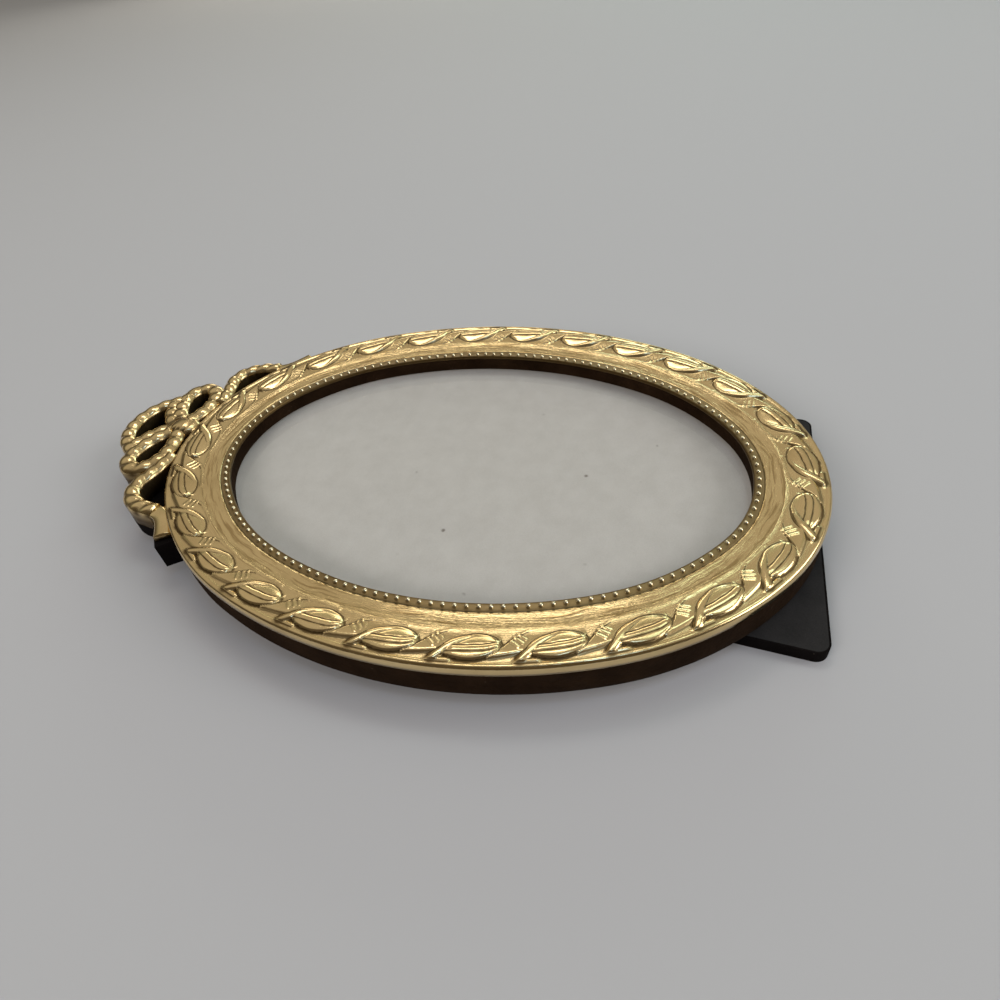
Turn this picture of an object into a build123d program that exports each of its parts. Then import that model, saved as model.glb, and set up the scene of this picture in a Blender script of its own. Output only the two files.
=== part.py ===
from build123d import *
import math
import os

# Oval picture frame lying on its folded easel leg, face up.
# X runs to the right seen from the front, Y up to the bow, Z out of the face.
# The origin is under the middle of the oval, on the surface that the frame lies on.
# All lengths are in millimetres and all angles in degrees.

# Oval of the inner brass lip, drawn from three tangent arcs in each quarter.
opening_half_length = 82.5
opening_half_width = 56.6
side_radius_share = 0.957
side_turn = 23.6
shoulder_turn = 53.6

# Heights, built up from the surface that the frame lies on.
leg_thickness = 3.7
leg_gap = 0.3
body_depth = 11.0
glass_depth = 5.6
glass_thickness = 1.6
photo_thickness = 0.3
card_thickness = 1.0
overrun = 1.0

# Section of the stamped brass face, as offsets outward from the lip.
sheet = 0.5
lip_radius = 0.8
lip_fold = 1.1
bead_strip = 3.0
cove_width = 5.3
cove_sag = 0.4
relief_width = 9.7
relief_low = 0.45
relief_high = 2.0
relief_bulge = 0.45
roll_radius = 2.1
skirt = 1.4

# Beaded strip along the lip.
bead_count = 145
bead_sides = 6
bead_radius = 0.8
bead_height = 0.75
bead_taper = 30.0
bead_offset = 1.4
strip_width = 1.8
strip_thickness = 0.3

# Wooden ring, its velvet and the lining of the opening.
velvet = 0.7
velvet_roll = 1.2
back_cloth = 0.5
back_cloth_width = 11.5
liner = 0.7
liner_setback = 0.2
rabbet_offset = 6.9
pane_clearance = 0.4

# Back panel, held by four turn buttons on screws.
panel_clearance = 0.25
button_turn = 20.0
button_offset = 13.2
button_length = 14.0
button_width = 6.0
button_thickness = 0.9
button_gap = 0.15
button_play = 0.05
button_edge = 0.25
screw_radius = 1.0
screw_head_radius = 2.1
screw_head_height = 1.1
screw_slot_width = 0.7
screw_slot_depth = 0.4
screw_grip = 6.0

# Easel leg and its hinge.
hinge_share = 0.63
foot_share = 0.83
foot_setback = 0.6
leg_flare = 5.5
foot_radius = 3.5
leg_cloth = 0.5
leg_lining = 0.3
barrel_radius = 1.7
pin_radius = 0.8
pin_play = 0.05
knuckle_count = 5
knuckle_gap = 0.15
hinge_width = 40.0
leaf_length = 14.0
leaf_thickness = 0.7
leaf_relief = 0.3
leg_hinge_gap = 0.5
rivet_radius = 0.8
rivet_head_radius = 1.5
rivet_head_height = 0.6
rivet_grip = 2.4
rivet_inset = 4.0

# Pierced ribbon bow over the upper end of the oval.
bow_height = 28.7
bow_half_width = 52.0
bow_top = 1.2
bow_wall = 5.6
rope_width = 5.6
loop_width = 6.0
ribbon_width = 5.4
ribbon_wall = 1.6
knot_width = 8.6
bend_share = 0.45
rope_crown = 2.0
knot_crown = 2.8
ribbon_crown = 0.9

# Fixings of the bow and its board.
crest_margin = 1.5
tongue_half_width = 15.0
tongue_reach = 9.0
tongue_thickness = 2.5
crest_screw_spread = 10.0
crest_screw_inset = 4.6
crest_screw_head = 2.0
crest_screw_head_height = 1.2
crest_screw_length = 5.5
bow_pin_radius = 0.7
bow_pin_grip = 3.0

# Courses of the bow's strands: shares of its half width, and of its height over the oval's end.
arch_share = ((0.27, 0.62), (0.0, 0.905), (-0.27, 0.62))
fork_share = ((0.019, 0.33), (0.04, 0.44), (0.13, 0.57), (0.235, 0.66))
loop_share = (
    (0.058, 0.34), (0.16, 0.475), (0.29, 0.56), (0.385, 0.54), (0.453, 0.41),
    (0.43, 0.24), (0.32, 0.125), (0.18, 0.14), (0.067, 0.223),
)
tail_share = (
    (0.31, 0.02), (0.46, 0.07), (0.567, 0.14), (0.673, 0.09), (0.748, -0.10), (0.763, -0.34),
)
ribbon_share = ((0.763, -0.32), (0.80, -0.47), (0.973, -0.715))
filling_share = ((0.828, -0.51), (0.973, -0.715))
knot_share = ((0.0, 0.29), (0.0, 0.03))
pin_share = ((0.0, 0.915), (0.455, 0.36), (-0.455, 0.36))

# Values worked out from the sizes above.
back_z = leg_thickness + leg_gap
cloth_z = back_z + back_cloth
lip_z = back_z + body_depth
fold_z = lip_z - lip_fold
skirt_z = lip_z - skirt
glass_z = lip_z - glass_depth
photo_z = glass_z - glass_thickness
card_z = photo_z - photo_thickness
panel_z = card_z - card_thickness
cove_end = bead_strip + cove_width
relief_end = cove_end + relief_width
face_offset = relief_end + roll_radius
core_offset = face_offset - velvet
liner_offset = liner_setback + liner
pane_offset = rabbet_offset - pane_clearance
panel_offset = rabbet_offset - panel_clearance
axis_z = leg_thickness - barrel_radius
hinge_y = hinge_share * opening_half_length
foot_half_width = foot_share * opening_half_width
leg_top_y = hinge_y - barrel_radius - leg_hinge_gap
button_z = back_z - button_gap
bow_z = lip_z + bow_top - rope_crown - bow_wall
end_y = opening_half_length + face_offset
foot_reach = end_y - foot_setback


def oval_arcs():
    """Centre, lip radius, start and turn of the eight arcs, from the right side round."""
    side_sine = math.sin(math.radians(side_turn))
    side_cosine = math.cos(math.radians(side_turn))
    end_sine = math.sin(math.radians(shoulder_turn))
    end_cosine = math.cos(math.radians(shoulder_turn))
    side = side_radius_share * opening_half_length**2 / opening_half_width
    rise = opening_half_length - side * side_sine
    run = opening_half_width - side * (1 - side_cosine)
    sine_step = end_sine - side_sine
    cosine_step = side_cosine - end_cosine
    determinant = sine_step * end_cosine - (1 - end_sine) * cosine_step
    shoulder = (rise * end_cosine - (1 - end_sine) * run) / determinant
    end = (sine_step * run - cosine_step * rise) / determinant
    side_x = opening_half_width - side
    shoulder_x = side_x + (side - shoulder) * side_cosine
    shoulder_y = (side - shoulder) * side_sine
    end_centre = opening_half_length - end
    shoulder_arc = shoulder_turn - side_turn
    end_arc = 180 - 2 * shoulder_turn
    return (
        (side_x, 0, side, -side_turn, 2 * side_turn),
        (shoulder_x, shoulder_y, shoulder, side_turn, shoulder_arc),
        (0, end_centre, end, shoulder_turn, end_arc),
        (-shoulder_x, shoulder_y, shoulder, 180 - shoulder_turn, shoulder_arc),
        (-side_x, 0, side, 180 - side_turn, 2 * side_turn),
        (-shoulder_x, -shoulder_y, shoulder, 180 + side_turn, shoulder_arc),
        (0, -end_centre, end, 180 + shoulder_turn, end_arc),
        (shoulder_x, -shoulder_y, shoulder, -shoulder_turn, shoulder_arc),
    )


def oval(offset):
    """The face inside the oval that runs this far outside the lip."""
    edges = [
        CenterArc((centre_x, centre_y), radius + offset, start, turn)
        for centre_x, centre_y, radius, start, turn in oval_arcs()
    ]
    return make_face(edges)


def plate(offset, low, high):
    """An oval plate between two heights."""
    return Pos(0, 0, low) * extrude(oval(offset), high - low)


def moulding(section):
    """Carries a section, drawn as offset and height, round the oval."""
    spans = []
    for centre_x, centre_y, radius, start, turn in oval_arcs():
        upright = Plane.XZ * Pos(radius, 0) * section
        placed = Pos(centre_x, centre_y, 0) * Rot(0, 0, start) * upright
        spans.append(revolve(placed, Axis((centre_x, centre_y, 0), (0, 0, 1)), turn))
    return Part() + spans


def places(count, offset):
    """Evenly spaced places along the oval at this offset, each turned to face outward."""
    arcs = oval_arcs()
    lengths = [(arc[2] + offset) * math.radians(arc[4]) for arc in arcs]
    pitch = sum(lengths) / count
    found = []
    for index in range(count):
        along = index * pitch
        for (centre_x, centre_y, radius, start, turn), length in zip(arcs, lengths):
            if along < length:
                break
            along -= length
        angle = start + turn * along / length
        found.append(Pos(centre_x, centre_y, 0) * Rot(0, 0, angle) * Pos(radius + offset, 0, 0))
    return found


def face_line():
    """Upper line of the brass face's section: lip, strip, cove, relief band and roll."""
    cove_mid = (bead_strip + cove_end) / 2
    cove_low = lip_z + relief_low / 2 - cove_sag
    relief_mid = (cove_end + relief_end) / 2
    relief_top = lip_z + (relief_low + relief_high) / 2 + relief_bulge
    relief_start = (cove_end, lip_z + relief_low)
    relief_stop = (relief_end, lip_z + relief_high)
    roll_low = lip_z + relief_high - roll_radius
    return [
        Line((0, fold_z), (0, lip_z - lip_radius)),
        CenterArc((lip_radius, lip_z - lip_radius), lip_radius, 90, 90),
        Line((lip_radius, lip_z), (bead_strip, lip_z)),
        ThreePointArc((bead_strip, lip_z), (cove_mid, cove_low), relief_start),
        ThreePointArc(relief_start, (relief_mid, relief_top), relief_stop),
        CenterArc((relief_end, roll_low), roll_radius, 0, 90),
        Line((face_offset, roll_low), (face_offset, skirt_z)),
    ]


def under_line():
    """Underside of the brass sheet, in straight runs, which the wooden ring fits."""
    cove_mid = (bead_strip + cove_end) / 2
    cove_low = lip_z + relief_low / 2 - cove_sag
    relief_mid = (cove_end + relief_end) / 2
    relief_top = lip_z + (relief_low + relief_high) / 2 + relief_bulge
    return Polyline(
        (sheet, fold_z),
        (sheet, lip_z - lip_radius),
        (lip_radius, lip_z - sheet),
        (bead_strip, lip_z - sheet),
        (cove_mid, cove_low - sheet),
        (cove_end, lip_z + relief_low - sheet),
        (relief_mid, relief_top - sheet),
        (relief_end, lip_z + relief_high - sheet),
        (face_offset - sheet, lip_z + relief_high - roll_radius),
        (face_offset - sheet, skirt_z),
    )


def closed(points):
    """A face with straight sides."""
    return make_face(Polyline(*points, close=True))


def build_face():
    """Stamped brass sheet: lip, bead strip, cove, relief band and rolled edge."""
    ends = [
        Line((0, fold_z), (sheet, fold_z)),
        Line((face_offset, skirt_z), (face_offset - sheet, skirt_z)),
    ]
    return moulding(make_face(face_line() + list(under_line().edges()) + ends))


def build_bead_rim():
    """Narrow strip with a row of raised beads."""
    low = bead_offset - strip_width / 2
    section = Pos(bead_offset, lip_z + strip_thickness / 2) * Rectangle(strip_width, strip_thickness)
    rim = moulding(section)
    bead = extrude(RegularPolygon(bead_radius, bead_sides), bead_height, taper=bead_taper)
    lift = Pos(0, 0, lip_z + strip_thickness / 2)
    beads = [lift * place * bead for place in places(bead_count, bead_offset)]
    return rim.fuse(*beads)


def build_core():
    """Wooden ring under the brass, rebated at the back for the glass."""
    outline = Polyline(
        (face_offset - sheet, skirt_z),
        (core_offset, skirt_z),
        (core_offset, cloth_z),
        (rabbet_offset, cloth_z),
        (rabbet_offset, glass_z),
        (liner_offset, glass_z),
        (liner_offset, fold_z),
        (sheet, fold_z),
    )
    return moulding(make_face(list(under_line().edges()) + list(outline.edges())))


def build_side_velvet():
    """Velvet round the ring's side, turned over its back."""
    fold_start = face_offset - back_cloth_width
    outline = [
        Polyline((face_offset, back_z + velvet_roll), (face_offset, skirt_z), (core_offset, skirt_z),
                 (core_offset, cloth_z), (fold_start, cloth_z), (fold_start, back_z),
                 (face_offset - velvet_roll, back_z)),
        CenterArc((face_offset - velvet_roll, back_z + velvet_roll), velvet_roll, 270, 90),
    ]
    return moulding(make_face([edge for line in outline for edge in line.edges()]))


def build_liner():
    """Dark sleeve between the lip and the glass."""
    section = closed((
        (liner_setback, glass_z),
        (liner_offset, glass_z),
        (liner_offset, fold_z),
        (liner_setback, fold_z),
    ))
    return moulding(section)


def bow_point(shares, side=1):
    """A place on the bow, from its shares of the bow's width and height."""
    across, up = shares
    return (side * across * bow_half_width, end_y + up * bow_height)


def crowned(width, crown):
    """Section of a strand: upright walls under a round crown."""
    half = width / 2
    shoulder = bow_z + bow_wall
    outline = Polyline((half, shoulder), (half, bow_z), (-half, bow_z), (-half, shoulder))
    crest = ThreePointArc((-half, shoulder), (0, shoulder + crown), (half, shoulder))
    return make_face(list(outline.edges()) + [crest])


def soft_path(points):
    """Straight runs joined by arcs as large as the runs allow."""
    spots = [Vector(*point) for point in points]
    radii = []
    for before, here, after in zip(spots, spots[1:], spots[2:]):
        run_in = here - before
        run_out = after - here
        half_turn = math.radians(run_in.get_angle(run_out)) / 2
        radii.append(bend_share * min(run_in.length, run_out.length) / math.tan(half_turn))
    if radii:
        return FilletPolyline(*points, radius=radii)
    return Line(*points)


def strand(path, section):
    """Carries a strand's section along straight and round edges."""
    spans = []
    for edge in path.edges():
        heading = edge % 0
        across = Vector(heading.Y, -heading.X, 0)
        start = Plane(origin=edge @ 0, x_dir=-across, z_dir=heading)
        placed = start * section
        if edge.geom_type == GeomType.LINE:
            spans.append(extrude(placed, edge.length))
        else:
            turning = heading.cross(edge % 1).Z
            axis = Axis(edge.arc_center, (0, 0, math.copysign(1, turning)))
            spans.append(revolve(placed, axis, math.degrees(edge.length / edge.radius)))
    return Part() + spans


def bow_strands():
    """Every strand of the bow, not yet trimmed to the frame."""
    strands = [
        strand(ThreePointArc(*[bow_point(shares) for shares in arch_share]), crowned(rope_width, rope_crown)),
        strand(soft_path([bow_point(shares) for shares in knot_share]), crowned(knot_width, knot_crown)),
    ]
    for side in (1, -1):
        for shares, width, crown in (
            (fork_share, rope_width, rope_crown),
            (loop_share, loop_width, rope_crown),
            (tail_share, rope_width, rope_crown),
            (ribbon_share, ribbon_width, ribbon_crown),
        ):
            course = soft_path([bow_point(share, side) for share in shares])
            strands.append(strand(course, crowned(width, crown)))
    return Part() + strands


def ribbon_fillings():
    """Raised ends of the crest board, which fill the shallow ends of the ribbon."""
    height = bow_wall - ribbon_wall
    section = Pos(0, bow_z + height / 2) * Rectangle(ribbon_width, height)
    courses = [soft_path([bow_point(share, side) for share in filling_share]) for side in (1, -1)]
    return Part() + [strand(course, section) for course in courses]


def build_bow(strands):
    """Stamped brass bow, trimmed to the frame's edge and hollow under the ribbon's ends."""
    return strands - plate(face_offset, 0, lip_z + body_depth) - ribbon_fillings()


def build_crest_board(strands):
    """Board behind the bow, cut to its outline, closed behind its holes, with a tongue into the ring."""
    footprint = strands.faces().filter_by(Plane.XY).sort_by(Axis.Z)[0]
    bend_y = bow_point(ribbon_share[1])[1]
    above = Pos(0, bend_y + bow_height, 0) * Box(2 * bow_half_width, 2 * bow_height, 2 * overrun)
    rim = plate(face_offset + crest_margin, 0, overrun) & above
    shadow = extrude(Pos(0, 0, -bow_z) * footprint, overrun, dir=(0, 0, 1)) + rim + plate(core_offset, 0, overrun)
    outline = Face(shadow.faces().filter_by(Plane.XY).sort_by(Axis.Z)[0].outer_wire())
    frame_space = plate(face_offset, 0, lip_z + body_depth)
    slab = Pos(0, 0, cloth_z) * extrude(outline, bow_z - cloth_z, dir=(0, 0, 1)) - frame_space
    cover = Pos(0, 0, back_z) * extrude(outline, back_cloth, dir=(0, 0, 1)) - frame_space
    return slab + tongue() + (ribbon_fillings() - frame_space), cover


def tongue():
    """Tongue of the crest board, lying in a pocket of the wooden ring."""
    length = tongue_reach + tongue_thickness
    middle = end_y - tongue_reach + length / 2
    block = Box(2 * tongue_half_width, length, tongue_thickness, align=(Align.CENTER, Align.CENTER, Align.MIN))
    return Pos(0, middle, cloth_z) * block


def build_crest_screws():
    """Two countersunk screws through the tongue into the ring."""
    screws = []
    for side in (1, -1):
        shank = Cylinder(screw_radius, crest_screw_length, align=(Align.CENTER, Align.CENTER, Align.MIN))
        head = Cone(crest_screw_head, screw_radius, crest_screw_head_height,
                    align=(Align.CENTER, Align.CENTER, Align.MIN))
        screws.append(Pos(side * crest_screw_spread, end_y - crest_screw_inset, cloth_z) * (shank + head))
    return screws


def build_bow_pins():
    """Brass pins from the board into the bow."""
    length = bow_z - cloth_z + bow_pin_grip
    pin = Cylinder(bow_pin_radius, length, align=(Align.CENTER, Align.CENTER, Align.MIN))
    return [Pos(*bow_point(shares), cloth_z) * pin for shares in pin_share]


def button_spots():
    """Pivots of the turn buttons, each turned so that its arm reaches over the panel."""
    side_x, _, radius, _, _ = oval_arcs()[0]
    reach = radius + button_offset
    spots = []
    for turn in (button_turn, 180 - button_turn, 180 + button_turn, -button_turn):
        mirror = math.copysign(1, math.cos(math.radians(turn)))
        spots.append(Pos(mirror * side_x, 0, 0) * Rot(0, 0, turn) * Pos(reach, 0, 0))
    return spots


def build_button():
    """Long round-ended brass button with its pivot near one end."""
    arm = (button_length - button_width) / 2
    blank = extrude(Pos(-arm, 0) * SlotOverall(button_length, button_width), button_thickness)
    blank = chamfer(blank.faces().sort_by(Axis.Z)[0].edges(), button_edge)
    hole = Cylinder(screw_radius + button_play, 3 * button_thickness)
    return Pos(0, 0, button_z - button_thickness) * (blank - hole)


def build_button_screw():
    """Slotted screw that a turn button pivots on."""
    head_top = button_z - button_thickness - button_play
    shank_length = cloth_z + screw_grip - head_top
    shank = Pos(0, 0, head_top) * Cylinder(
        screw_radius, shank_length, align=(Align.CENTER, Align.CENTER, Align.MIN))
    head = Pos(0, 0, head_top) * Cylinder(
        screw_head_radius, screw_head_height, align=(Align.CENTER, Align.CENTER, Align.MAX))
    slot = Pos(0, 0, head_top - screw_head_height) * Box(
        2 * screw_head_radius, screw_slot_width, 2 * screw_slot_depth)
    return shank + head - slot


def leg_outline(inset):
    """Flared outline of the easel leg, moved inward by the inset."""
    slope = math.tan(math.radians(leg_flare))
    top_half = foot_half_width - slope * (leg_top_y + foot_reach)
    outline = closed((
        (-foot_half_width, -foot_reach),
        (foot_half_width, -foot_reach),
        (top_half, leg_top_y),
        (-top_half, leg_top_y),
    ))
    rounded = fillet(outline.vertices().group_by(Axis.Y)[0], foot_radius)
    if inset:
        return offset(rounded, -inset, kind=Kind.INTERSECTION)
    return rounded


def leaf_blank(low, direction):
    """Flat of a hinge leaf on one side of the hinge line."""
    blank = Box(hinge_width, leaf_length, leaf_thickness, align=(Align.CENTER, Align.CENTER, Align.MIN))
    return Pos(0, hinge_y + direction * leaf_length / 2, low) * blank


def barrel(radius, first, spare):
    """Every second knuckle of the barrel, from the first, with spare width at its ends."""
    width = hinge_width / knuckle_count
    spans = []
    for index in range(first, knuckle_count, 2):
        middle = (index + 0.5) * width - hinge_width / 2
        cylinder = Rot(0, 90, 0) * Cylinder(radius, width + spare)
        spans.append(Pos(middle, hinge_y, axis_z) * cylinder)
    return spans


def build_leaf(low, direction, first, bore):
    """One leaf of the hinge with its knuckles."""
    other = 1 - first
    blank = leaf_blank(low, direction) - barrel(barrel_radius + leaf_relief, other, knuckle_gap)
    leaf = blank + barrel(barrel_radius, first, -knuckle_gap)
    return leaf - Pos(0, hinge_y, axis_z) * Rot(0, 90, 0) * Cylinder(bore, hinge_width + overrun)


def rivet_spots(direction):
    """Places of the four rivets in one leaf."""
    middle = hinge_y + direction * leaf_length / 2
    return Pos(0, middle, 0) * GridLocations(hinge_width - 2 * rivet_inset, leaf_length - 2 * rivet_inset, 2, 2)


def build_panel_rivets(leaf_low):
    """Round-headed rivets through the fixed leaf into the panel."""
    shank = Cylinder(rivet_radius, leaf_thickness + rivet_grip, align=(Align.CENTER, Align.CENTER, Align.MIN))
    head = Cylinder(rivet_head_radius, rivet_head_height, align=(Align.CENTER, Align.CENTER, Align.MAX))
    return [spot * Pos(0, 0, leaf_low) * (shank + head) for spot in rivet_spots(1)]


def build_leg_rivets():
    """Rivets through the leg, flush with the leaf and hidden by the velvet."""
    shank = Cylinder(rivet_radius, leg_thickness - leg_cloth, align=(Align.CENTER, Align.CENTER, Align.MIN))
    return [spot * Pos(0, 0, leg_cloth) * shank for spot in rivet_spots(-1)]


def main():
    os.makedirs("parts", exist_ok=True)
    parts = {}

    strands = bow_strands()
    crest_board, crest_velvet = build_crest_board(strands)
    crest_screws = build_crest_screws()
    bow_pins = build_bow_pins()
    button_screws = [spot * build_button_screw() for spot in button_spots()]

    parts["brass_face"] = build_face()
    parts["bead_rim"] = build_bead_rim()
    parts["frame_core"] = build_core() - tongue() - crest_screws - button_screws
    parts["side_velvet"] = build_side_velvet() - tongue() - button_screws
    parts["opening_liner"] = build_liner()
    parts["bow_crest"] = build_bow(strands) - bow_pins
    parts["crest_board"] = crest_board - crest_screws - bow_pins
    parts["crest_velvet"] = crest_velvet
    parts["crest_screws"] = Compound(crest_screws)
    parts["bow_pins"] = Compound(bow_pins)

    parts["glass"] = plate(pane_offset, photo_z, glass_z)
    parts["photo_insert"] = plate(pane_offset, card_z, photo_z)
    parts["backing_card"] = plate(pane_offset, panel_z, card_z)

    fixed_low = back_z - leaf_thickness
    panel_rivets = build_panel_rivets(fixed_low)
    parts["back_panel"] = plate(panel_offset, cloth_z, panel_z) - panel_rivets
    parts["panel_velvet"] = plate(panel_offset, back_z, cloth_z) - panel_rivets
    parts["hinge_fixed_leaf"] = build_leaf(fixed_low, 1, 0, pin_radius) - panel_rivets
    parts["hinge_pin"] = Pos(0, hinge_y, axis_z) * Rot(0, 90, 0) * Cylinder(pin_radius, hinge_width)
    parts["hinge_rivets"] = Compound(panel_rivets)

    for index, spot in enumerate(button_spots(), start=1):
        parts[f"turn_button_{index}"] = spot * build_button()
    parts["button_screws"] = Compound(button_screws)

    leaf_low = leg_thickness - leaf_thickness
    recess = leaf_blank(leaf_low, -1)
    leg_rivets = build_leg_rivets()
    inside = leg_outline(leg_cloth)
    hollow = Pos(0, 0, leg_cloth) * extrude(inside, leg_thickness)
    board = Pos(0, 0, leg_cloth) * extrude(inside, leg_thickness - leg_lining - leg_cloth)
    lining = Pos(0, 0, leg_thickness - leg_lining) * extrude(inside, leg_lining)
    parts["leg_velvet"] = extrude(leg_outline(0), leg_thickness) - hollow - recess
    parts["leg_board"] = board - recess - leg_rivets
    parts["leg_lining"] = lining - recess
    parts["hinge_leg_leaf"] = build_leaf(leaf_low, -1, 1, pin_radius + pin_play) - leg_rivets
    parts["leg_rivets"] = Compound(leg_rivets)

    for name, shape in parts.items():
        export_step(shape, f"parts/{name}.step")


main()
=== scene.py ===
"""Oval table picture frame in stamped brass, with a ribbon bow, a velvet-covered body and an easel leg."""

import logging
import math
from dataclasses import dataclass
from enum import Enum
from typing import Iterator, Optional, Sequence

import bpy
import numpy as np
from mathutils import Matrix


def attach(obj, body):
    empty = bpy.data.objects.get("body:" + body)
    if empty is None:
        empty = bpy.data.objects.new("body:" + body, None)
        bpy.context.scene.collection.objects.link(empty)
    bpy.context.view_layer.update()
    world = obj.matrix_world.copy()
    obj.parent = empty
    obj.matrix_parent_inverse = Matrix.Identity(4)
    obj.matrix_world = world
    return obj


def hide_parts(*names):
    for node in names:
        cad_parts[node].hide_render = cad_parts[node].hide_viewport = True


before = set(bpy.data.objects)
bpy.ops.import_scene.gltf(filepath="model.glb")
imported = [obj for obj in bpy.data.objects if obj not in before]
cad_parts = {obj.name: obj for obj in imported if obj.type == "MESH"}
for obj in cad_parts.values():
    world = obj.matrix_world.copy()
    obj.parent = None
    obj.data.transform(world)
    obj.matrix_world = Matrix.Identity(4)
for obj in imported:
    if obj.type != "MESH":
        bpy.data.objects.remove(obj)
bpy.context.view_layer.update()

Pair = tuple[float, float]
Triple = tuple[float, float, float]
Colour = tuple[float, float, float, float]
Course = tuple[tuple[float, ...], ...]

MM = 0.001
TURN = 2 * math.pi
CURVE_STEPS = 24  # Steps in each span of a curve, before its points are spaced evenly.
log = logging.getLogger("picture_frame")


def even_points(fine: np.ndarray, samples: int) -> np.ndarray:
    """Places spaced evenly by length along a polyline.

    Args:
        fine: Points of the polyline, points by dimensions.
        samples: How many places to return.

    Returns:
        An array of samples by dimensions.
    """
    along = np.concatenate([[0], np.cumsum(np.linalg.norm(np.diff(fine, axis=0), axis=1))])
    wanted = np.linspace(0, along[-1], samples)
    return np.stack([np.interp(wanted, along, column) for column in fine.T], 1)


def smooth_curve(points: Sequence[Sequence[float]], samples: int) -> np.ndarray:
    """A smooth curve through chosen points, evenly spaced along its length.

    Each span is the Catmull-Rom cubic: the tangent at a point is half the step between its neighbours.

    Args:
        points: The chosen points, in any number of dimensions.
        samples: How many places to return.

    Returns:
        An array of samples by dimensions.
    """
    chosen = np.asarray(points, float)
    ends = np.vstack([2 * chosen[0] - chosen[1], chosen, 2 * chosen[-1] - chosen[-2]])
    share = np.linspace(0, 1, CURVE_STEPS, endpoint=False)[:, None, None]
    before, start, end, after = ends[:-3], ends[1:-2], ends[2:-1], ends[3:]
    cubic = 0.5 * (
        2 * start
        + (end - before) * share
        + (2 * before - 5 * start + 4 * end - after) * share**2
        + (3 * start - before - 3 * end + after) * share**3
    )
    spans = cubic.transpose(1, 0, 2).reshape(-1, chosen.shape[1])
    return even_points(np.vstack([spans, chosen[-1:]]), samples)


def corner_curve(points: Sequence[Sequence[float]], samples: int) -> np.ndarray:
    """A curve that rounds every corner of a polygon, evenly spaced along its length.

    Each inner corner becomes the parabola between the middles of its two sides:
    (1 - s)^2 A + 2s(1 - s) B + s^2 C.

    Args:
        points: Corners of the polygon.
        samples: How many places to return.

    Returns:
        An array of samples by dimensions.
    """
    corners = np.asarray(points, float)
    middles = (corners[1:] + corners[:-1]) / 2
    share = np.linspace(0, 1, CURVE_STEPS)[:, None, None]
    bends = (1 - share) ** 2 * middles[:-1] + 2 * share * (1 - share) * corners[1:-1] + share**2 * middles[1:]
    inner = bends.transpose(1, 0, 2).reshape(-1, corners.shape[1])
    return even_points(np.vstack([corners[:1], inner, corners[-1:]]), samples)


def smooth_step(values: np.ndarray, low: float, high: float) -> np.ndarray:
    """Rises from 0 to 1 between two values along the cubic 3x^2 - 2x^3."""
    share = np.clip((values - low) / (high - low), 0, 1)
    return share * share * (3 - 2 * share)


def add_object(name: str, data: bpy.types.ID) -> bpy.types.Object:
    """Makes an object and links it to the scene.

    Args:
        name: Name of the object.
        data: Its mesh, lamp or camera.

    Returns:
        The new object, at the origin.
    """
    made = bpy.data.objects.new(name, data)
    bpy.context.scene.collection.objects.link(made)
    return made


def stand(thing: bpy.types.Object, right: np.ndarray, up: np.ndarray, place: Sequence[float]) -> None:
    """Places a camera or a lamp, which looks against the cross product of its two directions.

    Args:
        thing: The camera or lamp.
        right: Unit direction of its own X.
        up: Unit direction of its own Y.
        place: Where it stands, in metres.
    """
    placed = np.eye(4)
    placed[:3, :3] = np.stack([right, up, np.cross(right, up)], 1)
    placed[:3, 3] = place
    thing.matrix_world = Matrix(placed.tolist())


def store_values(mesh: bpy.types.Mesh, name: str, values: np.ndarray) -> None:
    """Stores one value for each point of a mesh.

    Args:
        mesh: The mesh.
        name: Name of the attribute that a finish reads.
        values: The values, in the order of the points.
    """
    attribute = mesh.attributes.new(name, "FLOAT", "POINT")
    attribute.data.foreach_set("value", values.reshape(-1).astype(np.float32))


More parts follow.
